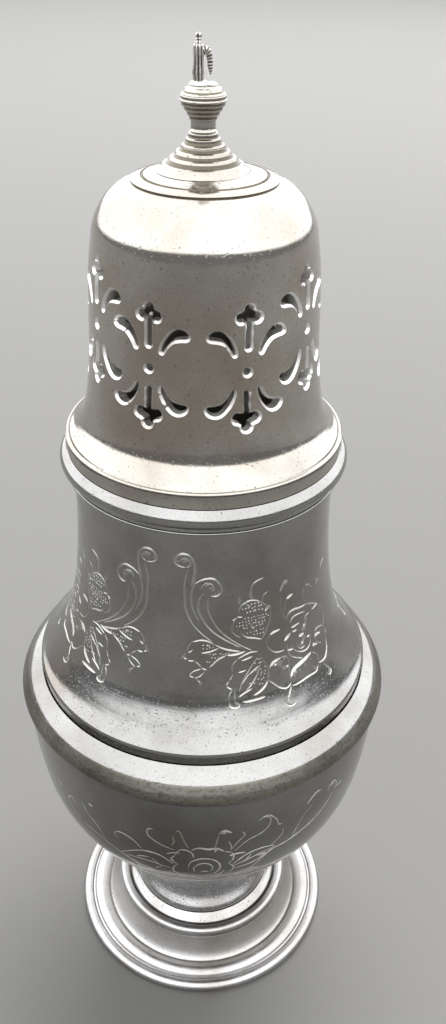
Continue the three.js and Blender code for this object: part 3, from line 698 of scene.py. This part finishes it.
rose_cuts = [
    (0.5, [(53, 91), (54, 92.2), (57.5, 92.4), (61.5, 92), (65, 91.8)]),
    (0.6, [(44, 89.6), (46, 90), (49.5, 90)]),
    (0.45, [(55, 89.2), (60.5, 89.2)]),
    (0.75, [(62.5, 87.8), (64.5, 88.6)]),
    (0.75, [(51, 87.4), (53, 88), (55, 88.4)]),
    (0.45, [(55.5, 88.4), (58.5, 88.2)]),
    (0.75, [(59, 86.8), (62.5, 86.8)]),
    (0.7, [(60.5, 85), (62, 86)]),
    (0.45, [(64, 85.6), (66, 85.6)]),
    (0.7, [(69, 84.4), (71, 84.6), (74, 84.2)]),
    (0.7, [(67, 83), (68, 83.4), (70.5, 82.8)]),
    (0.45, [(52, 85.6), (55.5, 85.2)]),
    (0.7, [(43, 83.8), (45, 84.6), (49, 84.8)]),
    (0.5, [(45.4, 84), (46.6, 84)]),
    (0.5, [(50.9, 82.8), (52.1, 82.8)]),
    (0.95, [(52, 80.6), (54, 81.6), (57.5, 82), (61.5, 82.2), (65.5, 82.4)]),
    (0.45, [(78, 82.6), (76.5, 80.8), (73.5, 79.6), (70, 79.6), (68, 79.8)]),
    (0.45, [(67.5, 79.6), (65.5, 79), (61, 79.2), (57, 79.2), (53.5, 79.2), (51.5, 79.4)]),
    (0.45, [(52, 79.8), (49.5, 79.4), (47, 79.8), (44.5, 80.8), (42, 81.8)]),
    (0.4, [(69, 89.8), (74.5, 89.8)]),
    (0.35, [(78, 86), (78, 84.6)]),
    (0.4, [(70.5, 79.2), (72, 78.2), (73, 77.6)]),
    (0.35, [(51.5, 79.4), (50, 78.6), (48.5, 77.8)]),
    (0.45, [(47.5, 78), (47.5, 77.2), (49.5, 76.8), (51.5, 77)]),
    (0.35, [(65, 91.8), (69.5, 91), (74.5, 89.8)]),
    (0.35, [(74.5, 89.8), (78.5, 87.6), (79, 85.8), (77, 84.8)]),
    (0.35, [(54.5, 90.2), (56.5, 91), (60, 91), (64, 90.6)]),
    (0.35, [(77, 84.8), (79, 83.4), (78, 82.6)]),
    (0.35, [(44, 89.6), (42.5, 88.6), (43.5, 87.4), (46.5, 86.2), (51, 85.8)]),
    (0.4, [(43, 83.8), (42, 82.8), (42, 81.8)]),
    (0.35, [(49, 84.8), (51.5, 84.6), (52.5, 83.6), (52, 82.2), (52, 80.6)]),
    (0.35, [(65.5, 82.4), (68.5, 81.4), (68.5, 80)]),
    (0.35, [(55, 86.8), (55, 85.6), (57.5, 84.4), (61.5, 83.6), (65, 83.8), (67, 85.4)]),
    (0.3, [(57.5, 86.2), (58, 85.2), (60, 84.4), (62.5, 84.4)]),
    (0.35, [(52.5, 86.6), (52.5, 85.4), (54.5, 84), (59, 82.8), (61.5, 82.4)]),
    (0.35, [(77, 84.8), (71.5, 85.6), (69.5, 84.8), (70, 83.4), (73.5, 82.2)]),
    (0.35, [(67, 89.8), (64, 89.4), (63.5, 88.2)]),
    (0.3, [(53.5, 81.2), (54.5, 80.2)]),
    (0.3, [(56.5, 81.8), (57.5, 80.6)]),
    (0.3, [(60, 82), (61, 80.8)]),
    (0.3, [(63.5, 82.2), (64.5, 81)]),
    (0.3, [(72, 78.2), (73, 77.4), (71, 77.1), (69.5, 78)]),
]
tendril_cuts = [
    (0.4, [(36.5, 97), (35.5, 98.8), (36, 100), (38.5, 100.6), (41.5, 100.8)]),
    (0.65, [(49.5, 97), (50.5, 97.8), (52, 98.6), (54, 98.6)]),
    (0.65, [(53, 95), (55, 95.4), (57, 95.4)]),
    (0.4, [(65, 95.4), (67.5, 95.2), (70.5, 93.8)]),
    (0.65, [(42, 94.4), (43.5, 95.2), (45, 95.2)]),
    (0.35, [(29.5, 94.6), (32, 94.4)]),
    (0.35, [(27.5, 94), (29.5, 94.4)]),
    (0.35, [(33, 97), (35.5, 96)]),
    (0.45, [(31, 91.6), (33.5, 90.6), (37.5, 90), (40.5, 89.4)]),
    (0.35, [(35.5, 92.4), (37, 91.8)]),
    (0.4, [(78, 95.8), (80.5, 96.6), (83, 97)]),
    (0.4, [(74.7, 94.2), (76.3, 94.2)]),
    (0.35, [(29.5, 94.4), (27.5, 93.2), (28, 91.8), (31, 90.6)]),
    (0.35, [(30, 95.4), (31.5, 96.6), (35, 97.2), (39, 96.8), (43, 95.4)]),
    (0.35, [(45, 95), (44.4, 92.8), (42.4, 90.8), (40.5, 89.4)]),
    (0.3, [(31.5, 96.6), (30, 97.6), (31, 98.4)]),
    (0.3, [(36, 97.2), (35, 98.4), (36.5, 99.2)]),
    (0.3, [(41, 96.2), (41, 97.4), (43.5, 98)]),
    (0.35, [(50, 96.4), (49.5, 94.8), (51, 92.8), (53, 91.2)]),
    (0.35, [(53, 95), (52, 93.8), (52.6, 92.6)]),
    (0.35, [(64.5, 95.2), (63, 94), (65, 92.2)]),
]
waist_cuts = scroll_cuts + low_leaf_cuts + rose_cuts + tendril_cuts
mirrored_pairs = [(WAIST_MIRROR + turn, way) for turn in (0, 180) for way in (1, -1)]
# Punched dots fill the leaves, in rows that are given as a height and the degrees they run between.
leaf_rows = [(89.8, 15.5, 20), (89.3, 15, 24), (88.1, 18, 27.5), (87.5, 18.5, 24), (86.9, 17, 20)]
low_leaf_rows = [(86, 37, 39.5), (85.4, 37, 40.5), (84.2, 36, 41), (83.6, 38, 42), (83, 38.5, 41.8),
                 (82.4, 37.5, 41.5), (82, 33.5, 36), (81.6, 38, 41)]
bud_rows = [(96.4, 34, 40), (95.8, 32, 41), (95.1, 33, 42), (94, 33, 43), (93.4, 30, 43.5), (92.8, 29.5, 43),
            (92.2, 32, 42), (91.3, 34, 41.5), (90.7, 36, 41)]
DOT_SPACING = 1.4
DOT_SMALL, DOT_LARGE = 0.25, 0.35
STRAY_ROUND = 0.35
STRAY_UP = 0.12
WAIST_MESH = 0.85
random.seed(5)
waist_dots = []
for row, (height, from_degrees, to_degrees) in enumerate(leaf_rows + low_leaf_rows + bud_rows):
    for degrees in np.arange(from_degrees + DOT_SPACING / 2 * (row % 2), to_degrees, DOT_SPACING):
        waist_dots.append((float(degrees) + random.uniform(-STRAY_ROUND, STRAY_ROUND),
                           height + random.uniform(-STRAY_UP, STRAY_UP),
                           random.uniform(DOT_SMALL, DOT_LARGE)))
engraved(Sheet(upper_shell, WAIST_FIRST, WAIST_LAST), waist_cuts, mirrored_pairs, waist_dots, WAIST_MESH)
fit(upper_shell.piece("upper_body_engraved"), "caster_body", "upper_body", body_silver,
    others=[cut_silver_painted_highlight, dull_inside])

# Neck band and lip bead
# Two rings soldered round the top of the neck: a thin band with a wire along its lower edge, and the
# round bead that the cover's rim rests above.
band_outline = ([(21.4, 110.5), (21.98, 110.5)] + arc_run((22.0, 110.7), 0.2, -85, 82, 8)
                + [(21.95, 110.95), (21.95, 111.45), (21.85, 111.6), (21.4, 111.6)])
fit(Shell(band_outline).piece("neck_band_ring"), "caster_body", "neck_band", body_silver)
lip_outline = ([(21.4, 111.62)] + arc_run((21.75, 113.0), 1.39, -85, 62, 20)
               + [(22.1, 114.46), (21.88, 114.7), (21.4, 114.74)])
fit(Shell(lip_outline).piece("lip_bead_ring"), "caster_body", "lip_bead", body_silver)

# Cover sleeve
# The tube under the cover that slides into the neck and holds the cover by its close fit. It has a
# rolled lower edge and two turned lines, and is duller than the outside, most of all in its bore.
inner_metal = silver_finish("inner metal", (0.42, 0.40, 0.36), (0.30, 0.28, 0.25), (0.26, 0.20, 0.15),
                            0.3, 0.45, 2200)
sleeve_outline = (arc_run((19.3, 105.3), 0.5, 180, 360, 12)
                  + [(19.8, 108.0), (19.68, 108.15), (19.68, 108.35), (19.8, 108.5), (19.8, 113.6),
                     (19.68, 113.75), (19.68, 113.95), (19.8, 114.1), (19.8, 117.2), (18.8, 117.2)])
sleeve_bore = {len(sleeve_outline) - 1: SECOND_FINISH}
fit(Shell(sleeve_outline, row_finish=sleeve_bore).piece("cover_sleeve_tube"), "sleeve", "cover_sleeve",
    inner_metal, others=[dull_inside])

# Cover rim
# The hollow-sided band, turned from silver and soldered under the dome, that seats on the mouth of
# the neck. It has a fine edge at its top.
# The cover's warm tint is partly tarnish and partly a painted reflection of the warm room.
cover_silver_painted_reflection = silver_finish("cover silver plate with painted reflection", (0.47, 0.45, 0.405), (0.34, 0.32, 0.285),
                             (0.34, 0.26, 0.195), 0.09, 0.17, 2400)
rim_run = smooth_run([(21.85, 114.85), (21.72, 115.5), (21.7, 116.2), (21.85, 116.9), (21.98, 117.15)], 4)
cover_rim_outline = ([(20.1, 114.8), (21.7, 114.8)] + rim_run
                     + [(21.98, 117.3), (21.8, 117.48), (21.6, 117.5), (20.1, 117.5)])
fit(Shell(cover_rim_outline).piece("cover_rim_turned"), "cover", "cover_rim", cover_silver_painted_reflection)

# Pierced dome
# The cast cover, pierced by hand with nine rosettes of curved petals and trefoils that the sugar runs
# out through. Their edges are filed to a slope that is worn bright, and no two are quite alike.
COVER_WALL = 1.8
SCREW_BORE = 1.2
DOME_SEAM = 117.8
DOME_MESH = 0.8
BEVEL_WIDTH = 0.34
BEVEL_DEPTH = 0.36
HAND_LEAN = 1.5  # degrees by which a hand-cut rosette may lean
HAND_SCALES = (0.97, 1.03)
hole_silver = silver_finish("filed edges", (0.95, 0.94, 0.92), (0.70, 0.69, 0.66), SILVER_TARNISH,
                            0.35, 0.60, 3600)
dome_run = smooth_run([(21.5, 117.5), (21.2, 117.95), (20.3, 118.7), (19.1, 120.4), (18.35, 123.0),
                       (17.9, 126.0), (17.4, 131.0), (17.15, 137.0), (16.85, 143.0), (16.35, 147.0),
                       (15.9, 149.6), (14.95, 151.6), (13.8, 153.2), (12.3, 154.4), (10.4, 155.2)], 6)
PIERCED_FIRST = 24
PIERCED_LAST = 57
dome_inner = ([(18.8, 117.5), (17.5, 121.0)] + inner_side(dome_run, COVER_WALL)[PIERCED_FIRST:-1]
              + [(9.5, 153.4)])
dome_outline = dome_run + [(SCREW_BORE, 155.2), (SCREW_BORE, 153.4)] + dome_inner[::-1]
# The same rows on the inner side, where the outline runs downwards.
inner_first = len(dome_outline) - 3
inner_last = inner_first - (PIERCED_LAST - PIERCED_FIRST)


def closed_curve(points, steps):
    """A smooth loop through the points."""
    ring = [np.array(p) for p in points]
    count = len(ring)
    return np.array([between(*(ring[(i + j) % count] for j in (-1, 0, 1, 2)), k / steps)
                     for i in range(count) for k in range(steps)])


def trefoil(stalk_end, side_height, tip_height, lobe):
    """A stalk that ends in three lobes, given by their heights above the rosette's middle."""
    shape = [(0.2, stalk_end), (0.36, stalk_end + 0.15), (0.34, (stalk_end + side_height) / 2),
             (0.38, side_height - 0.85 * lobe)]
    shape += arc_run((1.75 * lobe, side_height), lobe, -120, 95, 8)
    right = shape + arc_run((0, tip_height), lobe, -20, 90, 4)
    return np.array(right + [(-x, y) for x, y in right[-2::-1]])


def inside(points, loop):
    """Which of the points lie inside the loop."""
    x, y = points.T
    odd = np.zeros(len(points), bool)
    for (x0, y0), (x1, y1) in zip(loop, np.roll(loop, -1, axis=0)):
        if y0 != y1:
            odd ^= ((y0 > y) != (y1 > y)) & (x < x0 + (x1 - x0) * (y - y0) / (y1 - y0))
    return odd


# One rosette, in millimetres across and up: four curved petals, two trefoils and a round eye.
petal = closed_curve([(1.85, 2.85), (2.1, 2.6), (2.6, 3.45), (3.5, 4.4), (4.6, 4.75), (5.5, 4.85),
                      (5.85, 5.2), (5.45, 5.85), (4.6, 6.15), (3.7, 5.9), (2.8, 5.0), (2.15, 3.9)], 4)
rosette = [petal, petal * (-1, 1), petal * (0.98, -1.02), petal * (-0.98, -1.02),
           trefoil(3.2, 7.6, 8.7, 0.66), trefoil(2.9, 6.8, 8.1, 0.74) * (1, -1),
           np.array(arc_run((0, 0), 0.52, 0, 345, 23))]
# Degrees and height of each rosette's middle, for a third of the way round.
rosette_places = [(-26.2, 133.8), (20.2, 133.6), (57.8, 137.2)]

dome_shell = Shell(dome_outline, start=DOME_SEAM,
                   open_rows=[*range(PIERCED_FIRST, PIERCED_LAST), *range(inner_last, inner_first)])
dome_sheet = Sheet(dome_shell, PIERCED_FIRST, PIERCED_LAST)
holes = []
random.seed(7)
for turn in (0, 120, 240):
    for degrees, height in rosette_places:
        middle = np.array(dome_sheet.flat(degrees + turn, height))
        lean = math.radians(random.uniform(-HAND_LEAN, HAND_LEAN))
        for shape in rosette:
            x, y = (shape / float(dome_sheet.scale(middle[1])) * random.uniform(*HAND_SCALES)).T
            loop = middle + np.stack([x * math.cos(lean) - y * math.sin(lean),
                                      x * math.sin(lean) + y * math.cos(lean)], 1)
            after = np.roll(loop, -1, axis=0)
            clockwise = (loop[:, 0] * after[:, 1] - after[:, 0] * loop[:, 1]).sum() < 0
            if clockwise:
                loop = loop[::-1]
            rim = loop - BEVEL_WIDTH * left_of(np.roll(loop, -1, axis=0) - np.roll(loop, 1, axis=0))
            dome_sheet.chain(rim, closed=True)
            holes.append((loop, dome_sheet.chain(loop, closed=True)))
            dome_sheet.busy += [(px, py, CLEAR_OF_CUT) for px, py in rim]
dome_sheet.triangulate(DOME_MESH)
depth = np.zeros(len(dome_sheet.at))
middles = dome_sheet.at[np.array(dome_sheet.triangles)].mean(1)
removed = set()
for loop, numbers in holes:
    for number in numbers:
        depth[dome_sheet.number_of[number]] = BEVEL_DEPTH
    removed |= set(np.nonzero(inside(middles, loop))[0])
outer_corners, outward = dome_sheet.add_corners(depth)
dome_sheet.add_faces(outer_corners, outward, depth > 0, removed)

# The same mesh again on the inner side, and walls that join the two round each opening.
uncut = np.zeros(len(dome_sheet.at))
inner_rows = np.array(dome_shell.outline[inner_last:inner_first + 1])[::-1]
dome_sheet.r, dome_sheet.z = inner_rows.T
dome_sheet.rings = (dome_shell.rings[inner_first], dome_shell.rings[inner_last])
inner_corners, outward = dome_sheet.add_corners(uncut)
dome_sheet.add_faces(inner_corners, outward, uncut, removed, turn=-1)
for loop, numbers in holes:
    ring = [dome_sheet.number_of[number] for number in numbers]
    for i, j in zip(ring, ring[1:] + ring[:1]):
        dome_shell.finish_number[len(dome_shell.faces)] = SECOND_FINISH
        dome_shell.faces.append((outer_corners[i], outer_corners[j], inner_corners[j], inner_corners[i]))
        dome_shell.shading.append(None)
fit(dome_shell.piece("dome_pierced"), "cover", "pierced_dome", cover_silver_painted_reflection,
    others=[hole_silver, dull_inside])

# Crown plate
# A low stepped disc, turned from silver, that covers the crown and carries the finial. Its groove
# and its edge are painted dark: tarnish, and a painted shade on their steep faces.
CROWN_SHADED = (1, 4, 5, 6)  # the row of its edge, and those of its groove
groove_tarnish_and_shade = silver_finish("tarnish and painted shade in the grooves", (0.19, 0.17, 0.13), (0.11, 0.095, 0.07),
                               (0.10, 0.075, 0.05), 0.40, 0.60, 2600)
crown_outline = [(SCREW_BORE, 155.2), (10.4, 155.2), (10.4, 155.42), (10.28, 155.52), (9.04, 155.86),
                 (8.93, 155.7), (8.67, 155.7), (8.55, 155.95), (6.9, 156.42), (6.5, 156.5),
                 (SCREW_BORE, 156.5)]
crown_shaded_rows = {row: SECOND_FINISH for row in CROWN_SHADED}
fit(Shell(crown_outline, row_finish=crown_shaded_rows).piece("crown_plate_turned"), "cover", "crown_plate",
    cover_silver_painted_reflection, others=[groove_tarnish_and_shade])

# Finial
# Turned from rod: a trumpet foot cut in rings, a narrow spool and an urn, also ringed. On the urn
# stand a fluted stalk with a small ball, a ribbed leaf that droops beside it, and a low nub.
SMALL_SIDES = 96
FINIAL_AT = (-0.29, 0.0)
CAP_AT = (-0.85, 0.0)
NUB_AT = (0.83, 0.0)
STALK_AT = (-0.95, 0.0)
BALL_AT = (-0.93, 0.0)
BEAD_HALF = 0.17
BEAD_REACH = 1.15
FLUTE_TWIST = 0.25
FLUTE_HOLLOW = -0.1
UNEVEN = 0.35
UNEVEN_LOBES = 3
UNEVEN_TWIST = -2.1
# The hollows between beads, flutes and ribs are painted dark: tarnish, and a painted shade in the recesses.
ring_tarnish_and_shade = silver_finish("tarnish and painted shade in the rings", (0.17, 0.15, 0.115), (0.09, 0.08, 0.06), (0.08, 0.06, 0.04),
                             0.22, 0.38, 3000)
# The stalk, ball, leaf and cap are set much lighter: rubbed wear, and a painted highlight on their ridges.
worn_silver_painted_highlight = silver_finish("worn silver with painted highlight", (0.85, 0.84, 0.81), (0.50, 0.48, 0.45), SILVER_TARNISH,
                            0.30, 0.46, 3000)


def beaded(points, levels, swell, hollow):
    """A smooth outline with fine beads turned at the given heights, and shallow hollows between."""
    run = np.array(smooth_run(points, 20))
    nearest = np.abs(run[:, 1][:, None] - np.array(levels)[None]).min(1)
    bulge = (swell + hollow) * np.exp(-(nearest / BEAD_HALF) ** 2) - hollow
    return [tuple(p) for p in run - bulge[:, None] * left_of(np.gradient(run, axis=0))]


def hollow_rows(outline, levels):
    """The rows of an outline that lie between its beads, which take tarnish and a painted shade."""
    middles = (np.array(outline)[:-1, 1] + np.array(outline)[1:, 1]) / 2
    nearest = np.abs(middles[:, None] - np.array(levels)[None]).min(1)
    within = (middles > levels[0]) & (middles < levels[-1])
    return {row: SECOND_FINISH for row in range(len(middles))
            if within[row] and nearest[row] > BEAD_REACH * BEAD_HALF}


TRUMPET_BEADS = (157.3, 158.15, 158.95, 159.75, 160.55, 161.25)
trumpet = beaded([(6.6, 156.5), (5.5, 157.3), (4.5, 158.1), (3.6, 158.95), (2.85, 159.75), (2.3, 160.5),
                  (1.85, 161.4)], TRUMPET_BEADS, swell=0.10, hollow=0.05)
trumpet[0] = (6.6, 156.5)
trumpet[-1] = (1.8, 161.4)
screw_hole = [(0, 158.9), (SCREW_BORE, 158.9), (SCREW_BORE, 156.5)]
base_outline = screw_hole + trumpet + [(0, 161.4)]
trumpet_hollows = {row: number for row, number in hollow_rows(base_outline, TRUMPET_BEADS).items()
                   if row >= len(screw_hole)}
fit(Shell(base_outline, SMALL_SIDES, centre=FINIAL_AT, row_finish=trumpet_hollows).piece("finial_trumpet"),
    "cover", "finial_base", cover_silver_painted_reflection, others=[ring_tarnish_and_shade])

URN_BEADS = (163.05, 163.65, 164.25, 164.85, 165.45, 166.0, 166.2, 166.8)
urn = beaded([(1.72, 162.9), (2.15, 163.7), (2.6, 164.4), (3.0, 165.1), (3.12, 165.6), (2.95, 166.1),
              (2.55, 166.6), (1.95, 167.2)], URN_BEADS, swell=0.09, hollow=0.05)
knop_outline = ([(0, 161.4), (1.8, 161.4), (1.86, 161.6), (1.72, 161.85), (1.70, 162.4)]
                + urn[:-1] + [(1.9, 167.2), (0, 167.2)])
urn_hollows = hollow_rows(knop_outline, URN_BEADS)
fit(Shell(knop_outline, SMALL_SIDES, centre=FINIAL_AT, row_finish=urn_hollows).piece("finial_urn"),
    "cover", "finial_knop", cover_silver_painted_reflection, others=[ring_tarnish_and_shade])

cap = Shell([(0, 167.2), (1.42, 167.2), (1.42, 167.35), (1.2, 167.55), (0.95, 167.72), (0.9, 167.75),
             (0, 167.75)], sides=48, centre=CAP_AT)
nub = Shell([(0, 167.15), (0.78, 167.15), (0.8, 167.3), (0.62, 167.5), (0.33, 167.64), (0, 167.68)],
            sides=32, centre=NUB_AT)
cap.faces += [tuple(corner + len(cap.corners) for corner in face) for face in nub.faces]
cap.shading += nub.shading
cap.corners += nub.corners
fit(cap.piece("finial_cap_and_nub"), "cover", "finial_cap", worn_silver_painted_highlight)


def fluted(outline, sides, flutes, depth, centre):
    """A small upright piece with a few uneven flutes that twist a little as they rise."""
    shell = Shell(outline, sides, centre=centre)

    def flute(x, y, z):
        return math.cos(flutes * math.atan2(y - centre[1], x - centre[0]) + FLUTE_TWIST * z)

    for i, (x, y, z) in enumerate(shell.corners):
        a = math.atan2(y - centre[1], x - centre[0])
        grow = 1 + depth * (flute(x, y, z) + UNEVEN * math.cos(UNEVEN_LOBES * a + UNEVEN_TWIST * z))
        shell.corners[i] = (centre[0] + (x - centre[0]) * grow, centre[1] + (y - centre[1]) * grow, z)
    shell.shading = [None] * len(shell.faces)
    for i, face in enumerate(shell.faces):
        if flute(*np.mean([shell.corners[corner] for corner in face], axis=0)) < FLUTE_HOLLOW:
            shell.finish_number[i] = SECOND_FINISH
    return shell


stalk_outline = ([(0, 167.75)] + smooth_run([(0.70, 167.75), (0.69, 168.2), (0.74, 168.7), (0.69, 169.3),
                                             (0.65, 170.1), (0.66, 170.9), (0.66, 171.5), (0.60, 171.95),
                                             (0.42, 172.15)], 5) + [(0, 172.15)])
stalk = fluted(stalk_outline, sides=72, flutes=9, depth=0.075, centre=STALK_AT)
fit(stalk.piece("finial_stalk"), "cover", "finial_post", worn_silver_painted_highlight, [ring_tarnish_and_shade])
ball_outline = ([(0, 172.15)] + smooth_run([(0.40, 172.15), (0.45, 172.28), (0.34, 172.40), (0.32, 172.62),
                                            (0.42, 172.70), (0.34, 172.80), (0.38, 172.92), (0.42, 173.08),
                                            (0.38, 173.28), (0.22, 173.42)], 4) + [(0, 173.45)])
ball = fluted(ball_outline, sides=48, flutes=5, depth=0.03, centre=BALL_AT)
fit(ball.piece("finial_ball"), "cover", "finial_tip", worn_silver_painted_highlight, [ring_tarnish_and_shade])

# Across, height and half width of the leaf, from the stalk to its drooping point.
leaf_line = np.array(smooth_run([(-0.40, 171.15, 0.5), (0.02, 171.35, 0.56), (0.36, 171.05, 0.5),
                                 (0.54, 170.35, 0.43), (0.58, 169.6, 0.38), (0.62, 169.0, 0.27),
                                 (0.62, 168.45, 0.07)], 9))
LEAF_THICKNESS = 0.56
LEAF_RIBS = 11
LEAF_RING = 16
LEAF_GROOVE = 0.16
GROOVE_SHADED = 0.6
leaf_steps = len(leaf_line) - 1


def leaf_groove(step):
    """0 at the crest of a rib, and 1 in the groove between two."""
    return abs(math.sin(math.pi * LEAF_RIBS * step / leaf_steps))


leaf_sides = left_of(np.gradient(leaf_line[:, :2], axis=0))
leaf_corners = []
for i, ((x, z, half), (side_x, side_z)) in enumerate(zip(leaf_line, leaf_sides)):
    rib = 1 - LEAF_GROOVE * leaf_groove(i)
    for a in np.linspace(0, 2 * math.pi, LEAF_RING, endpoint=False):
        out = half * rib * math.cos(a)
        thick = min(LEAF_THICKNESS / 2, half) * rib * math.sin(a)
        leaf_corners.append((x - side_x * out, thick, z - side_z * out))
leaf_faces = []
leaf_finishes = []
for i in range(leaf_steps):
    here, there = i * LEAF_RING, (i + 1) * LEAF_RING
    for k in range(LEAF_RING):
        n = (k + 1) % LEAF_RING
        leaf_faces.append((here + k, here + n, there + n, there + k))
        leaf_finishes.append(SECOND_FINISH if leaf_groove(i + 0.5) > GROOVE_SHADED else MAIN_FINISH)
leaf_faces.append(tuple(range(LEAF_RING))[::-1])
leaf_faces.append(tuple(range(there, there + LEAF_RING)))
leaf_finishes += [MAIN_FINISH, MAIN_FINISH]
leaf = put_in_scene("finial_leaf_ribbed", leaf_corners, leaf_faces, leaf_finishes)
fit(leaf, "cover", "finial_leaf", worn_silver_painted_highlight, [ring_tarnish_and_shade])

# Screw, washer and nut
# They draw the finial down on the crown from inside the cover, where they don't show. They are of the
# sleeve's dull metal, and keep their plain turned shapes.
for name in ("finial_stud", "stud_washer", "stud_nut"):
    for material_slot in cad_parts[name].material_slots:
        material_slot.material = inner_metal

# Table
# A plain pale sheet under the caster, with a dull surface. It is twelve metres across, so that its
# edges are far off.
TABLE_HALF = 6000
table_corners = [(-TABLE_HALF, -TABLE_HALF, 0), (TABLE_HALF, -TABLE_HALF, 0), (TABLE_HALF, TABLE_HALF, 0),
                 (-TABLE_HALF, TABLE_HALF, 0)]
table = put_in_scene("table", table_corners, [(0, 1, 2, 3)], [MAIN_FINISH])
table_finish = bpy.data.materials.new("pale table")
table_finish.use_nodes = True
table_shader = table_finish.node_tree.nodes["Principled BSDF"]
table_shader.inputs["Base Color"].default_value = (0.56, 0.55, 0.53, 1)
table_shader.inputs["Roughness"].default_value = 0.7
table.data.materials.append(table_finish)

# Light
# A large soft panel, high behind the caster, lights the table. The polish mirrors an even pale room
# instead, bright overhead and behind the caster and dim low down in front of it.
SKY_IN_METAL = 2.85
ROOM_IN_METAL = 0.33
SKY_ON_TABLE = 0.29
BACKDROP = 0.55
SKY_COLOUR = (0.95, 0.96, 0.98, 1)
# The dim part reaches up to the first height at the sides. In front it goes higher by the second, and
# behind it stays as much lower. Both are the sine of an angle above level.
FRONT_EDGE = 0.14
FRONT_RISE = 0.185
FRONT_FADE_BELOW = 0.03
FRONT_FADE_ABOVE = 0.05
surround = bpy.data.worlds.new("surround")
surround.use_nodes = True
sky = surround.node_tree
toward = add_node(sky, "SeparateXYZ", {"Vector": add_node(sky, "TexCoord", {})["Generated"]})
above = add_node(sky, "Math", {0: toward["Y"], 1: FRONT_RISE, 2: toward["Z"]},
                 operation="MULTIPLY_ADD")["Value"]
in_metal = add_node(sky, "MapRange", {"Value": above, "From Min": FRONT_EDGE - FRONT_FADE_BELOW,
                                      "From Max": FRONT_EDGE + FRONT_FADE_ABOVE,
                                      "To Min": ROOM_IN_METAL, "To Max": SKY_IN_METAL},
                    interpolation_type="SMOOTHSTEP")["Result"]
rays = add_node(sky, "LightPath", {})
lit = add_node(sky, "MapRange", {"Value": rays["Is Glossy Ray"], "To Min": SKY_ON_TABLE,
                                 "To Max": in_metal})["Result"]
seen = add_node(sky, "MapRange", {"Value": rays["Is Camera Ray"], "To Min": lit,
                                  "To Max": BACKDROP})["Result"]
sky.links.new(seen, sky.nodes["Background"].inputs["Strength"])
sky.nodes["Background"].inputs["Color"].default_value = SKY_COLOUR
scene.world = surround

PANEL_AT = Vector((0.35, 1.0, 1.7))
PANEL_FACES = Vector((0, 0.3, 0))
PANEL_SIDE = 1.6
PANEL_POWER = 23
panel_light = bpy.data.lights.new("high panel", "AREA")
panel_light.shape = "RECTANGLE"
panel_light.size = PANEL_SIDE
panel_light.size_y = PANEL_SIDE
panel_light.energy = PANEL_POWER
panel = bpy.data.objects.new("high panel", panel_light)
panel.location = PANEL_AT
panel.rotation_euler = (PANEL_FACES - PANEL_AT).to_track_quat("-Z", "Y").to_euler()
panel.visible_glossy = False
scene.collection.objects.link(panel)

# Camera
# The photograph looks down on the caster from about 33 degrees and from close by, turned and tipped
# by about a degree.
CAMERA_AT = (0, -0.1352, 0.18848)
PITCH = math.radians(33.112)
YAW = math.radians(1.396)
ROLL = math.radians(1.030)
LENS = 33.43
FILM_WIDTH = 36
forward = Vector((math.sin(YAW) * math.cos(PITCH), math.cos(YAW) * math.cos(PITCH), -math.sin(PITCH)))
level = Vector((math.cos(YAW), -math.sin(YAW), 0))
upward = level.cross(forward)
right = math.cos(ROLL) * level + math.sin(ROLL) * upward
upright = -math.sin(ROLL) * level + math.cos(ROLL) * upward
facing = Matrix((right, upright, -forward)).transposed().to_4x4()
camera_data = bpy.data.cameras.new("camera")
camera_data.lens = LENS
camera_data.sensor_width = FILM_WIDTH
camera_data.clip_start = 0.01
camera = bpy.data.objects.new("camera", camera_data)
camera.matrix_world = Matrix.Translation(CAMERA_AT) @ facing
scene.collection.objects.link(camera)
scene.camera = camera
scene.view_settings.view_transform = "Standard"
